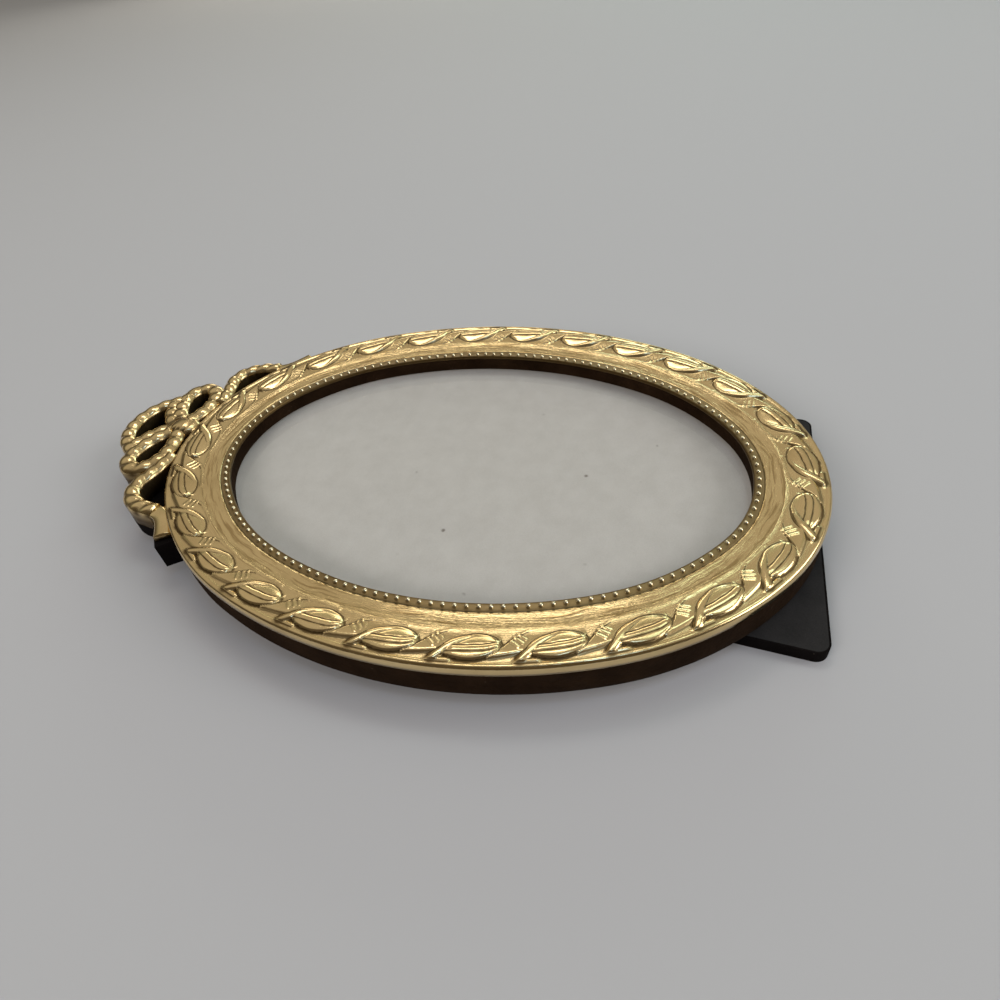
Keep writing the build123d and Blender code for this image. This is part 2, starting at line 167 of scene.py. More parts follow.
def surface_mesh(
    name: str, grid: np.ndarray, loop_along: bool, span: Pair, shade: Optional[np.ndarray] = None,
) -> bpy.types.Object:
    """Makes an object from a grid of points that loops across, with quads between neighbours.

    The last column joins the first. Where the grid loops along too, the last row joins the first, and
    otherwise each end is closed by one face. The UV map holds metres along and across. The faces are
    turned over where the volume they enclose about the grid's middle comes out negative.

    Args:
        name: Name of the object.
        grid: Points in millimetres, along by across by 3.
        loop_along: Whether the last row joins the first.
        span: Length of the grid along and across, in millimetres, for the UV map.
        shade: For the attribute named shade_and_tarnish, from 0 on a raised place to 1 in a hollow; it
            carries painted shade, and tarnish on the band.

    Returns:
        The new object, with smooth shading and outward faces.
    """
    rows, columns = grid.shape[:2]
    row_count = rows if loop_along else rows - 1
    row, column = np.meshgrid(np.arange(row_count), np.arange(columns), indexing="ij")
    row_steps = np.stack([row, row + 1, row + 1, row], -1).reshape(-1, 4)
    column_steps = np.stack([column, column, column + 1, column + 1], -1).reshape(-1, 4)
    faces = (row_steps % rows) * columns + column_steps % columns
    flat = grid.reshape(-1, 3) * MM
    centred = flat - flat.mean(0)
    a, b, c, d = (centred[faces[:, corner]] for corner in range(4))
    volume = np.einsum("ij,ij->", a, np.cross(b, c)) + np.einsum("ij,ij->", a, np.cross(c, d))
    outward = volume >= 0
    if not outward:
        faces, row_steps, column_steps = faces[:, ::-1], row_steps[:, ::-1], column_steps[:, ::-1]
    loops = faces.reshape(-1)
    sizes = np.full(len(faces), 4)
    uv = np.stack([row_steps / row_count * span[0], column_steps / columns * span[1]], -1).reshape(-1, 2) * MM
    if not loop_along:
        ring = np.arange(columns)
        first = ring if outward else ring[::-1]
        last = (rows - 1) * columns + (ring[::-1] if outward else ring)
        loops = np.concatenate([loops, first, last])
        sizes = np.concatenate([sizes, [columns, columns]])
        uv = np.concatenate([uv, np.zeros((2 * columns, 2))])
    mesh = bpy.data.meshes.new(name)
    mesh.vertices.add(len(flat))
    mesh.vertices.foreach_set("co", flat.reshape(-1))
    mesh.loops.add(len(loops))
    mesh.loops.foreach_set("vertex_index", loops.astype(np.int32))
    mesh.polygons.add(len(sizes))
    mesh.polygons.foreach_set("loop_start", np.concatenate([[0], np.cumsum(sizes)[:-1]]).astype(np.int32))
    mesh.polygons.foreach_set("use_smooth", np.ones(len(sizes), bool))
    mesh.uv_layers.new(name="flow").data.foreach_set("uv", uv.reshape(-1))
    # The stored attribute darkens the brass: painted shade, with tarnish on the band.
    if shade is not None:
        store_values(mesh, "shade_and_tarnish", shade)
    mesh.update(calc_edges=True)
    mesh.validate()
    return add_object(name, mesh)


@dataclass(frozen=True)
class Oval:
    """The lip oval: three tangent arcs in each quarter, and all the ovals parallel to it.

    Lengths are in millimetres and angles in degrees. X is the half width and Y the half length. The
    foot arc is the number of the arc at the foot end.
    """

    half_length: float = 82.5
    half_width: float = 56.6
    side_radius_share: float = 0.957
    side_turn: float = 23.6
    shoulder_turn: float = 53.6
    foot_arc: int = 6

    def arcs(self) -> np.ndarray:
        """Centre, radius, start angle and turn of the eight arcs, from the right side round.

        The shoulder and end radii solve two equations: the three arcs of a quarter climb the half
        length and cross the half width.
        """
        side_turn, shoulder_turn = math.radians(self.side_turn), math.radians(self.shoulder_turn)
        side_sine, side_cosine = math.sin(side_turn), math.cos(side_turn)
        end_sine, end_cosine = math.sin(shoulder_turn), math.cos(shoulder_turn)
        side = self.side_radius_share * self.half_length**2 / self.half_width
        climb = np.array([[end_sine - side_sine, 1 - end_sine], [side_cosine - end_cosine, end_cosine]])
        rest = np.array([self.half_length - side * side_sine, self.half_width - side * (1 - side_cosine)])
        shoulder, end = np.linalg.solve(climb, rest)
        side_x = self.half_width - side
        shoulder_x = side_x + (side - shoulder) * side_cosine
        shoulder_y = (side - shoulder) * side_sine
        end_y = self.half_length - end
        step = self.shoulder_turn - self.side_turn
        end_arc = 180 - 2 * self.shoulder_turn
        return np.array([
            (side_x, 0, side, -self.side_turn, 2 * self.side_turn),
            (shoulder_x, shoulder_y, shoulder, self.side_turn, step),
            (0, end_y, end, self.shoulder_turn, end_arc),
            (-shoulder_x, shoulder_y, shoulder, 180 - self.shoulder_turn, step),
            (-side_x, 0, side, 180 - self.side_turn, 2 * self.side_turn),
            (-shoulder_x, -shoulder_y, shoulder, 180 + self.side_turn, step),
            (0, -end_y, end, 180 + self.shoulder_turn, end_arc),
            (shoulder_x, -shoulder_y, shoulder, 360 - self.shoulder_turn, step),
        ])

    def perimeter(self, offset: float) -> float:
        """Length of the oval that runs this far outside the lip."""
        arcs = self.arcs()
        return float(np.sum((arcs[:, 2] + offset) * np.radians(arcs[:, 4])))

    def even(self, count: int, offset: float) -> np.ndarray:
        """Lengths of evenly spaced places along the oval at an offset, from its foot end."""
        return np.arange(count) / count * self.perimeter(offset)

    def stations(self, along: np.ndarray, offset: float) -> tuple[np.ndarray, np.ndarray, np.ndarray]:
        """Centres, radii and angles of the arcs met at these lengths along an oval.

        The length starts at the foot end, at angle -90, and runs to the right, the bow and the left.

        Args:
            along: Lengths along the oval, in millimetres.
            offset: How far outside the lip the lengths are measured.

        Returns:
            Centres, lip radii and normal angles in radians, one for each length.
        """
        arcs = self.arcs()
        lengths = (arcs[:, 2] + offset) * np.radians(arcs[:, 4])
        bounds = np.concatenate([[0], np.cumsum(lengths)])
        foot = bounds[self.foot_arc] + lengths[self.foot_arc] / 2
        place = np.mod(np.asarray(along, float) + foot, bounds[-1])
        index = np.clip(np.searchsorted(bounds, place, side="right") - 1, 0, len(arcs) - 1)
        angle = np.radians(arcs[index, 3]) + (place - bounds[index]) / (arcs[index, 2] + offset)
        return arcs[index, :2], arcs[index, 2], angle

    def sweep(
        self, along: np.ndarray, reference: float, offset: np.ndarray, height: np.ndarray,
    ) -> np.ndarray:
        """Points at an offset and height beside each place along the oval.

        A point is the arc's centre plus its radius and offset along the outward normal, raised by height.

        Args:
            along: Lengths along the oval, one for each row.
            reference: Offset at which those lengths are measured.
            offset: Offsets from the lip, along by across or across alone.
            height: Heights, in the same shape.

        Returns:
            A grid of points, along by across by 3.
        """
        centre, radius, angle = self.stations(along, reference)
        reach = radius[:, None] + np.broadcast_to(offset, (len(along), np.shape(offset)[-1]))
        x = centre[:, :1] + reach * np.cos(angle)[:, None]
        y = centre[:, 1:] + reach * np.sin(angle)[:, None]
        z = np.broadcast_to(height, x.shape)
        return np.stack([x, y, z], -1)


OVAL = Oval()


class Nodes:
    """Short ways to make and join shader nodes in one node tree."""

    def __init__(self, tree: bpy.types.NodeTree) -> None:
        """Takes the tree that the nodes go into."""
        self.tree = tree

    def feed(self, node: bpy.types.Node, inputs: dict) -> None:
        """Links or sets inputs of a node.

        Args:
            node: The node.
            inputs: For each input, by name or number, a socket to link or a plain value.
        """
        for key, value in inputs.items():
            if isinstance(value, bpy.types.NodeSocket):
                self.tree.links.new(value, node.inputs[key])
            else:
                node.inputs[key].default_value = value

    def add(self, kind: str, inputs: Optional[dict] = None, **settings: object) -> bpy.types.Node:
        """Adds a node, sets its properties and feeds its inputs.

        Args:
            kind: Blender's name for the node.
            inputs: For each input, by name or number, a socket to link or a plain value.
            settings: Properties of the node.

        Returns:
            The new node.
        """
        node = self.tree.nodes.new(kind)
        for key, value in settings.items():
            setattr(node, key, value)
        self.feed(node, inputs or {})
        return node

    def maths(self, operation: str, *values: object) -> bpy.types.NodeSocket:
        """A Math node's result for two or three values or sockets."""
        return self.add("ShaderNodeMath", dict(enumerate(values)), operation=operation).outputs[0]

    def mix(self, factor: object, first: object, second: object) -> bpy.types.NodeSocket:
        """Mixes two colours by a factor."""
        return self.add("ShaderNodeMix", {0: factor, 6: first, 7: second}, data_type="RGBA").outputs[2]

    def ramp(self, value: object, stops: Sequence[tuple]) -> bpy.types.NodeSocket:
        """Maps a value through a ramp of greys or colours.

        Args:
            value: The socket to map.
            stops: Positions, each with its grey level or its red, green and blue.

        Returns:
            The ramp's colour output.
        """
        node = self.add("ShaderNodeValToRGB", {0: value})
        elements = node.color_ramp.elements
        while len(elements) < len(stops):
            elements.new(0.5)
        for element, (position, level) in zip(elements, stops):
            element.position = position
            element.color = (*np.broadcast_to(level, 3).tolist(), 1)
        return node.outputs[0]

    def noise(
        self, vector: object, scale: object, detail: float = 3.0, rough: float = 0.5,
    ) -> bpy.types.NodeSocket:
        """A noise texture's value at a vector."""
        inputs = {"Vector": vector, "Scale": scale, "Detail": detail, "Roughness": rough}
        return self.add("ShaderNodeTexNoise", inputs).outputs[0]

    def stretched(self, vector: object, scale: Triple) -> bpy.types.NodeSocket:
        """A vector scaled by its own amount on each axis."""
        return self.add("ShaderNodeMapping", {"Vector": vector, "Scale": scale}).outputs[0]

    def stored(self, name: str) -> bpy.types.NodeSocket:
        """The value that a mesh stores under a name, or 0 where it has none."""
        return self.add("ShaderNodeAttribute", attribute_name=name).outputs["Fac"]


@dataclass(frozen=True)
class HandlingMarks:
    """Node group for handling marks: soft blotches, fine scratches and dust specks.

    Scales are in cycles per metre. The stops turn each texture into a mask.
    """

    blotch_scale: float = 60.0
    scratch_scale: float = 900.0
    speck_scale: float = 700.0
    scratch_stretch: Triple = (0.12, 1.0, 1.0)
    blotch_stops: Course = ((0.42, 0.0), (0.68, 1.0))
    scratch_stops: Course = ((0.46, 0.0), (0.62, 1.0))
    speck_stops: Course = ((0.06, 1.0), (0.12, 0.0))

    def build(self) -> bpy.types.NodeTree:
        """Makes the group.

        Returns:
            A group with a vector and three scales in, and blotch, scratch and speck masks out.
        """
        group = bpy.data.node_groups.new("handling_marks", "ShaderNodeTree")
        face = group.interface
        face.new_socket("Vector", in_out="INPUT", socket_type="NodeSocketVector")
        scales = (("Blotch", self.blotch_scale), ("Scratch", self.scratch_scale), ("Speck", self.speck_scale))
        for name, value in scales:
            socket = face.new_socket(f"{name} Scale", in_out="INPUT", socket_type="NodeSocketFloat")
            socket.default_value = value
        for name, _ in scales:
            face.new_socket(name, in_out="OUTPUT", socket_type="NodeSocketFloat")
        nodes = Nodes(group)
        entry = nodes.add("NodeGroupInput").outputs
        vector = entry["Vector"]
        long_way = nodes.stretched(vector, self.scratch_stretch)
        blotch = nodes.noise(vector, entry["Blotch Scale"], detail=5.0)
        scratch = nodes.noise(long_way, entry["Scratch Scale"], detail=4.0)
        speck = nodes.add("ShaderNodeTexVoronoi", {"Vector": vector, "Scale": entry["Speck Scale"]})
        nodes.add("NodeGroupOutput", {
            "Blotch": nodes.ramp(blotch, self.blotch_stops),
            "Scratch": nodes.ramp(scratch, self.scratch_stops),
            "Speck": nodes.ramp(speck.outputs[0], self.speck_stops),
        })
        return group


class Coordinates(Enum):
    """Where a finish reads its pattern."""

    OBJECT = "Object"
    SURFACE = "UV"


@dataclass(frozen=True)
class Finish:
    """What every finish has: a name and the coordinates it reads. Its scales are in cycles per metre."""

    name: str
    coordinates: Coordinates = Coordinates.OBJECT

    def start(self) -> tuple[bpy.types.Material, Nodes, bpy.types.Node, bpy.types.NodeSocket]:
        """Makes the empty material.

        Returns:
            The material, its nodes, its main shader and the coordinates' socket.
        """
        material = bpy.data.materials.new(self.name)
        material.use_nodes = True
        nodes = Nodes(material.node_tree)
        shader = material.node_tree.nodes["Principled BSDF"]
        vector = nodes.add("ShaderNodeTexCoord").outputs[self.coordinates.value]
        return material, nodes, shader, vector

    def bump(
        self, nodes: Nodes, shader: bpy.types.Node, height: object, depth: float, strength: float = 1.0,
    ) -> None:
        """Links a height to the shader's normal.

        Args:
            nodes: The material's nodes.
            shader: The main shader.
            height: Socket that holds the height from 0 to 1.
            depth: Depth of the bump in metres.
            strength: Share of the bump that is kept.
        """
        node = nodes.add("ShaderNodeBump", {"Height": height, "Distance": depth, "Strength": strength})
        nodes.feed(shader, {"Normal": node.outputs[0]})


@dataclass(frozen=True)
class WornFinish(Finish):
    """A finish that shows the handling marks of the shared group."""

    wear: Optional[bpy.types.NodeTree] = None

    def marks(
        self, nodes: Nodes, vector: bpy.types.NodeSocket, **scales: float,
    ) -> bpy.types.bpy_prop_collection:
        """Places the shared group in the material.

        Args:
            nodes: The material's nodes.
            vector: Where the marks are read.
            scales: Scales that differ from the group's own, each named by its mark.

        Returns:
            The group's outputs, named Blotch, Scratch and Speck.
        """
        inputs = {f"{mark} Scale": scale for mark, scale in scales.items()}
        return nodes.add("ShaderNodeGroup", {"Vector": vector, **inputs}, node_tree=self.wear).outputs


@dataclass(frozen=True)
class Brass(WornFinish):
    """Old polished brass: warm, streaked along its length, brown in its hollows with painted shade and
    tarnish.

    The streaks are two noises stretched along the surface and bent by a slow sway. They are in full
    where the mesh's grain is 1 and fall to the plain share where it is 0. Hollows follow the mesh's
    shade_and_tarnish attribute, which paints shade into creases, walls and recesses, with tarnish on the
    band.
    """

    bright: Colour = (0.88, 0.67, 0.345, 1)
    dull: Colour = (0.52, 0.36, 0.16, 1)
    # Colour of the painted shade and tarnish in the hollows.
    dark: Colour = (0.09, 0.05, 0.016, 1)
    roughness: float = 0.14
    tarnish: float = 0.45
    plain: float = 0.12
    sway_scale: float = 55.0
    sway_reach: Triple = (0.0, 0.0028, 0.0)
    streak_scale: float = 70.0
    streak_stretch: Triple = (1.0, 22.0, 1.0)
    streak_stops: Course = ((0.39, 1.0), (0.52, 0.0))
    streak_share: float = 0.95
    fine_scale: float = 190.0
    fine_stretch: Triple = (1.0, 34.0, 1.0)
    fine_share: float = 0.3
    hollow_stops: Course = ((0.36, 0.0), (0.85, 1.0))
    hollow_share: float = 0.92
    fine_rough: float = 0.12
    hollow_rough: float = 0.35
    blotch_rough: float = 0.05
    relief_depth: float = 0.00014

    def material(self) -> bpy.types.Material:
        """Builds the brass material: streaks run along the surface, and painted shade with tarnish darkens
        the hollows.
        """
        material, nodes, shader, vector = self.start()
        solid = nodes.add("ShaderNodeTexCoord").outputs["Object"]
        blotch = self.marks(nodes, solid)["Blotch"]
        sway = nodes.add("ShaderNodeTexNoise", {"Vector": solid, "Scale": self.sway_scale, "Detail": 2.0})
        bend = {0: sway.outputs["Color"], 1: self.sway_reach, 2: vector}
        bent = nodes.add("ShaderNodeVectorMath", bend, operation="MULTIPLY_ADD").outputs[0]
        long_way = nodes.stretched(bent, self.streak_stretch)
        streaks = nodes.noise(long_way, self.streak_scale, detail=4.0, rough=0.62)
        fine = nodes.noise(nodes.stretched(bent, self.fine_stretch), self.fine_scale, rough=0.6)
        grain = nodes.maths("MULTIPLY_ADD", nodes.stored("grain"), 1.0 - self.plain, self.plain)
        lines = nodes.maths("MULTIPLY", nodes.ramp(streaks, self.streak_stops), self.streak_share)
        lines = nodes.maths("MULTIPLY", lines, grain)
        tarnish = nodes.maths("MULTIPLY", blotch, self.tarnish)
        dulled = nodes.mix(nodes.maths("MAXIMUM", tarnish, lines), self.bright, self.dull)
        # Painted shade and tarnish: the hollows darken toward the dark colour.
        hollows = nodes.ramp(nodes.stored("shade_and_tarnish"), self.hollow_stops)
        hollows = nodes.maths("MULTIPLY", hollows, self.hollow_share)
        rough = nodes.maths("MULTIPLY_ADD", fine, self.fine_rough, self.roughness - self.fine_rough / 2)
        rough = nodes.maths("MULTIPLY_ADD", hollows, self.hollow_rough, rough)
        rough = nodes.maths("MULTIPLY_ADD", blotch, self.blotch_rough, rough)
        colour = nodes.mix(hollows, dulled, self.dark)
        nodes.feed(shader, {"Base Color": colour, "Roughness": rough, "Metallic": 1.0})
        relief = nodes.maths("MULTIPLY", nodes.maths("MULTIPLY_ADD", fine, self.fine_share, streaks), grain)
        self.bump(nodes, shader, relief, self.relief_depth, strength=0.8)
        return material


@dataclass(frozen=True)
class Velvet(WornFinish):
    """Short worn pile: dark, matt, lighter where it is rubbed, with a little lint."""

    colour: Colour = (0.011, 0.0055, 0.0028, 1)
    rubbed: Colour = (0.034, 0.018, 0.009, 1)
    lint: Colour = (0.16, 0.13, 0.10, 1)
    sheen: float = 0.025
    tint: Colour = (0.55, 0.42, 0.33, 1)
    pile_scale: float = 2600.0
    pile_depth: float = 0.0004
    tuft_scale: float = 700.0
    blotch_scale: float = 90.0
    speck_scale: float = 420.0
    lint_stops: Course = ((0.58, 0.0), (0.64, 0.5))

    def material(self) -> bpy.types.Material:
        """Builds the velvet material: blotches and tufts rub it, and specks on tufts are lint."""
        material, nodes, shader, vector = self.start()
        marks = self.marks(nodes, vector, Blotch=self.blotch_scale, Speck=self.speck_scale)
        pile = nodes.noise(vector, self.pile_scale, detail=2.0, rough=0.7)
        tufts = nodes.noise(vector, self.tuft_scale, rough=0.6)
        rub = nodes.maths("MULTIPLY", nodes.maths("ADD", marks["Blotch"], tufts), 0.5)
        lint = nodes.maths("MULTIPLY", marks["Speck"], nodes.ramp(tufts, self.lint_stops))
        colour = nodes.mix(lint, nodes.mix(rub, self.colour, self.rubbed), self.lint)
        nodes.feed(shader, {
            "Base Color": colour, "Roughness": 0.95, "Specular IOR Level": 0.04,
            "Sheen Weight": self.sheen, "Sheen Roughness": 0.45, "Sheen Tint": self.tint,
        })
        self.bump(nodes, shader, nodes.maths("MULTIPLY_ADD", pile, 0.6, tufts), self.pile_depth, strength=0.7)
        return material


@dataclass(frozen=True)
class Paper(WornFinish):
    """Plain mounting paper with a soft grain, faint clouds and a few specks."""

    colour: Colour = (0.575, 0.55, 0.52, 1)
    shade: Colour = (0.52, 0.495, 0.465, 1)
    fleck: Colour = (0.12, 0.09, 0.07, 1)
    fibre_scale: float = 2200.0
    fibre_depth: float = 0.00008
    cloud_scale: float = 160.0
    blotch_scale: float = 22.0
    speck_scale: float = 130.0
    patch_scale: float = 90.0
    tone_stops: Course = ((0.38, 0.0), (0.62, 1.0))
    patch_stops: Course = ((0.60, 0.0), (0.66, 0.8))

    def material(self) -> bpy.types.Material:
        """Builds the paper material: fibres and clouds mix its two tones, and specks show in rare patches."""
        material, nodes, shader, vector = self.start()
        marks = self.marks(nodes, vector, Blotch=self.blotch_scale, Speck=self.speck_scale)
        fibre = nodes.noise(vector, self.fibre_scale, detail=4.0, rough=0.7)
        clouds = nodes.noise(vector, self.cloud_scale, rough=0.6)
        grain = nodes.maths("MULTIPLY", nodes.maths("ADD", fibre, clouds), 0.5)
        tone = nodes.mix(nodes.ramp(grain, self.tone_stops), self.shade, self.colour)
        patches = nodes.ramp(nodes.noise(vector, self.patch_scale, detail=2.0), self.patch_stops)
        colour = nodes.mix(nodes.maths("MULTIPLY", marks["Speck"], patches), tone, self.fleck)
        nodes.feed(shader, {"Base Color": colour, "Roughness": 0.9, "Specular IOR Level": 0.25})
        self.bump(nodes, shader, fibre, self.fibre_depth, strength=0.5)
        return material


@dataclass(frozen=True)
class Glass(Finish):
    """Thin clear pane with a faint film of dust, which lets light through to the paper."""

    colour: Colour = (0.97, 0.98, 0.975, 1)
    index: float = 1.5
    smear_scale: float = 38.0
    smear_rough: float = 0.08
    clean_rough: float = 0.01

    def material(self) -> bpy.types.Material:
        """Builds the glass material, which is clear to shadow rays and diffuse rays."""
        material, nodes, shader, vector = self.start()
        smear = nodes.noise(vector, self.smear_scale, detail=4.0, rough=0.6)
        rough = nodes.maths("MULTIPLY_ADD", smear, self.smear_rough, self.clean_rough)
        nodes.feed(shader, {
            "Base Color": self.colour, "Roughness": rough, "Transmission Weight": 1.0, "IOR": self.index,
        })
        clear = nodes.add("ShaderNodeBsdfTransparent")
        path = nodes.add("ShaderNodeLightPath").outputs
        passed = nodes.maths("MAXIMUM", path["Is Shadow Ray"], path["Is Diffuse Ray"])
        through = nodes.add("ShaderNodeMixShader", {0: passed, 1: shader.outputs[0], 2: clear.outputs[0]})
        nodes.feed(material.node_tree.nodes["Material Output"], {"Surface": through.outputs[0]})
        return material


@dataclass(frozen=True)
class Board(Finish):
    """Pressed board or soft wood: a grain in two tones, drawn out along the axis with the least stretch."""

    light: Colour = (0.42, 0.31, 0.20, 1)
    deep: Colour = (0.27, 0.18, 0.10, 1)
    stretch: Triple = (8.0, 0.8, 8.0)
    grain_scale: float = 90.0
    grain_stops: Course = ((0.35, 0.0), (0.65, 1.0))
    pore_scale: float = 420.0
    pore_depth: float = 0.0001
    pore_rough: float = 0.2
    rough: float = 0.6

    def material(self) -> bpy.types.Material:
        """Builds the board material: a stretched grain mixes the two tones, and pores roughen it."""
        material, nodes, shader, vector = self.start()
        grain = nodes.noise(nodes.stretched(vector, self.stretch), self.grain_scale, detail=5.0, rough=0.65)
        pores = nodes.noise(nodes.stretched(vector, self.stretch), self.pore_scale, detail=2.0, rough=0.6)
        tone = nodes.mix(nodes.ramp(grain, self.grain_stops), self.deep, self.light)
        rough = nodes.maths("MULTIPLY_ADD", pores, self.pore_rough, self.rough)
        nodes.feed(shader, {"Base Color": tone, "Roughness": rough})
        self.bump(nodes, shader, pores, self.pore_depth, strength=0.6)
        return material


@dataclass(frozen=True)
class Steel(WornFinish):
    """Dull steel of a pin or a screw, lightly scratched."""

    colour: Colour = (0.42, 0.41, 0.39, 1)
    worn: Colour = (0.25, 0.2, 0.15, 1)
    scratch_depth: float = 0.00003
    scratch_rough: float = 0.2
    rough: float = 0.32

    def material(self) -> bpy.types.Material:
        """Builds the steel material: blotches darken it and scratches roughen it."""
        material, nodes, shader, vector = self.start()
        marks = self.marks(nodes, vector)
        colour = nodes.mix(marks["Blotch"], self.colour, self.worn)
        rough = nodes.maths("MULTIPLY_ADD", marks["Scratch"], self.scratch_rough, self.rough)
        nodes.feed(shader, {"Base Color": colour, "Roughness": rough, "Metallic": 1.0})
        self.bump(nodes, shader, marks["Scratch"], self.scratch_depth)
        return material


def dress(piece: bpy.types.Object, material: bpy.types.Material) -> None:
    """Gives a piece one material on all its faces."""
    piece.data.materials.clear()
    piece.data.materials.append(material)


@dataclass(frozen=True)
class Finishes:
    """Every finish of the frame, made once."""

    face_brass: bpy.types.Material
    bow_brass: bpy.types.Material
    bead_brass: bpy.types.Material
    dull_brass: bpy.types.Material
    brown_velvet: bpy.types.Material
    # Darker copy of the velvet that paints shade on parts in shadow.
    black_velvet: bpy.types.Material
    paper: bpy.types.Material
    black_paper: bpy.types.Material
    glass: bpy.types.Material
    wood: bpy.types.Material
    card: bpy.types.Material
    steel: bpy.types.Material

    @classmethod
    def make(cls) -> "Finishes":
        """Makes the shared group of handling marks and all the materials."""
        wear = HandlingMarks().build()
        return cls(
            face_brass=Brass("face_brass", Coordinates.SURFACE, wear).material(),
            bow_brass=Brass("bow_brass", Coordinates.SURFACE, wear).material(),
            bead_brass=Brass(
                "bead_brass", wear=wear, bright=(0.96, 0.84, 0.58, 1), roughness=0.2, tarnish=0.1, plain=0.0,
            ).material(),
            dull_brass=Brass("dull_brass", wear=wear, roughness=0.34, plain=0.5, tarnish=0.9).material(),
            brown_velvet=Velvet("brown_velvet", wear=wear).material(),
            # A near-black copy of the velvet: painted shade for the leg and the crest board seen through the
            # bow's holes, which sit in shadow.
            black_velvet=Velvet(
                "black_velvet", wear=wear, colour=(0.0035, 0.003, 0.003, 1), rubbed=(0.011, 0.0085, 0.008, 1),
                sheen=0.012, tint=(0.4, 0.38, 0.42, 1),
            ).material(),
            paper=Paper("mount_paper", wear=wear).material(),
            black_paper=Paper(
                "black_paper", wear=wear, colour=(0.03, 0.028, 0.028, 1), shade=(0.02, 0.019, 0.019, 1),
                fleck=(0.08, 0.07, 0.06, 1),
            ).material(),
            glass=Glass("pane_glass").material(),
            wood=Board("ring_wood").material(),
            card=Board(
                "grey_board", light=(0.46, 0.41, 0.34, 1), deep=(0.36, 0.31, 0.25, 1),
                stretch=(2.0, 2.0, 2.0),
            ).material(),
            steel=Steel("fixing_steel", wear=wear).material(),
        )

    def dress_nodes(self, **choices: Sequence[str]) -> None:
        """Dresses CAD nodes that keep their own shape.

        Args:
            choices: For each finish, by its field's name, the names of the nodes that wear it.
        """
        for finish, names in choices.items():
            for name in names:
                dress(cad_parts[name], getattr(self, finish))
                log.info("dressed %s in %s", name, finish)


def finish_piece(
    piece: bpy.types.Object, material: bpy.types.Material, replaced: Sequence[str] = (),
) -> None:
    """Dresses a new piece, fixes it to the frame's body and hides the CAD nodes it stands for.

    Args:
        piece: The new object.
        material: Its material.
        replaced: CAD nodes that it stands for.
    """
    dress(piece, material)
    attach(piece, "frame")
    if replaced:
        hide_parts(*replaced)
    log.info("made %s with %d faces", piece.name, len(piece.data.polygons))


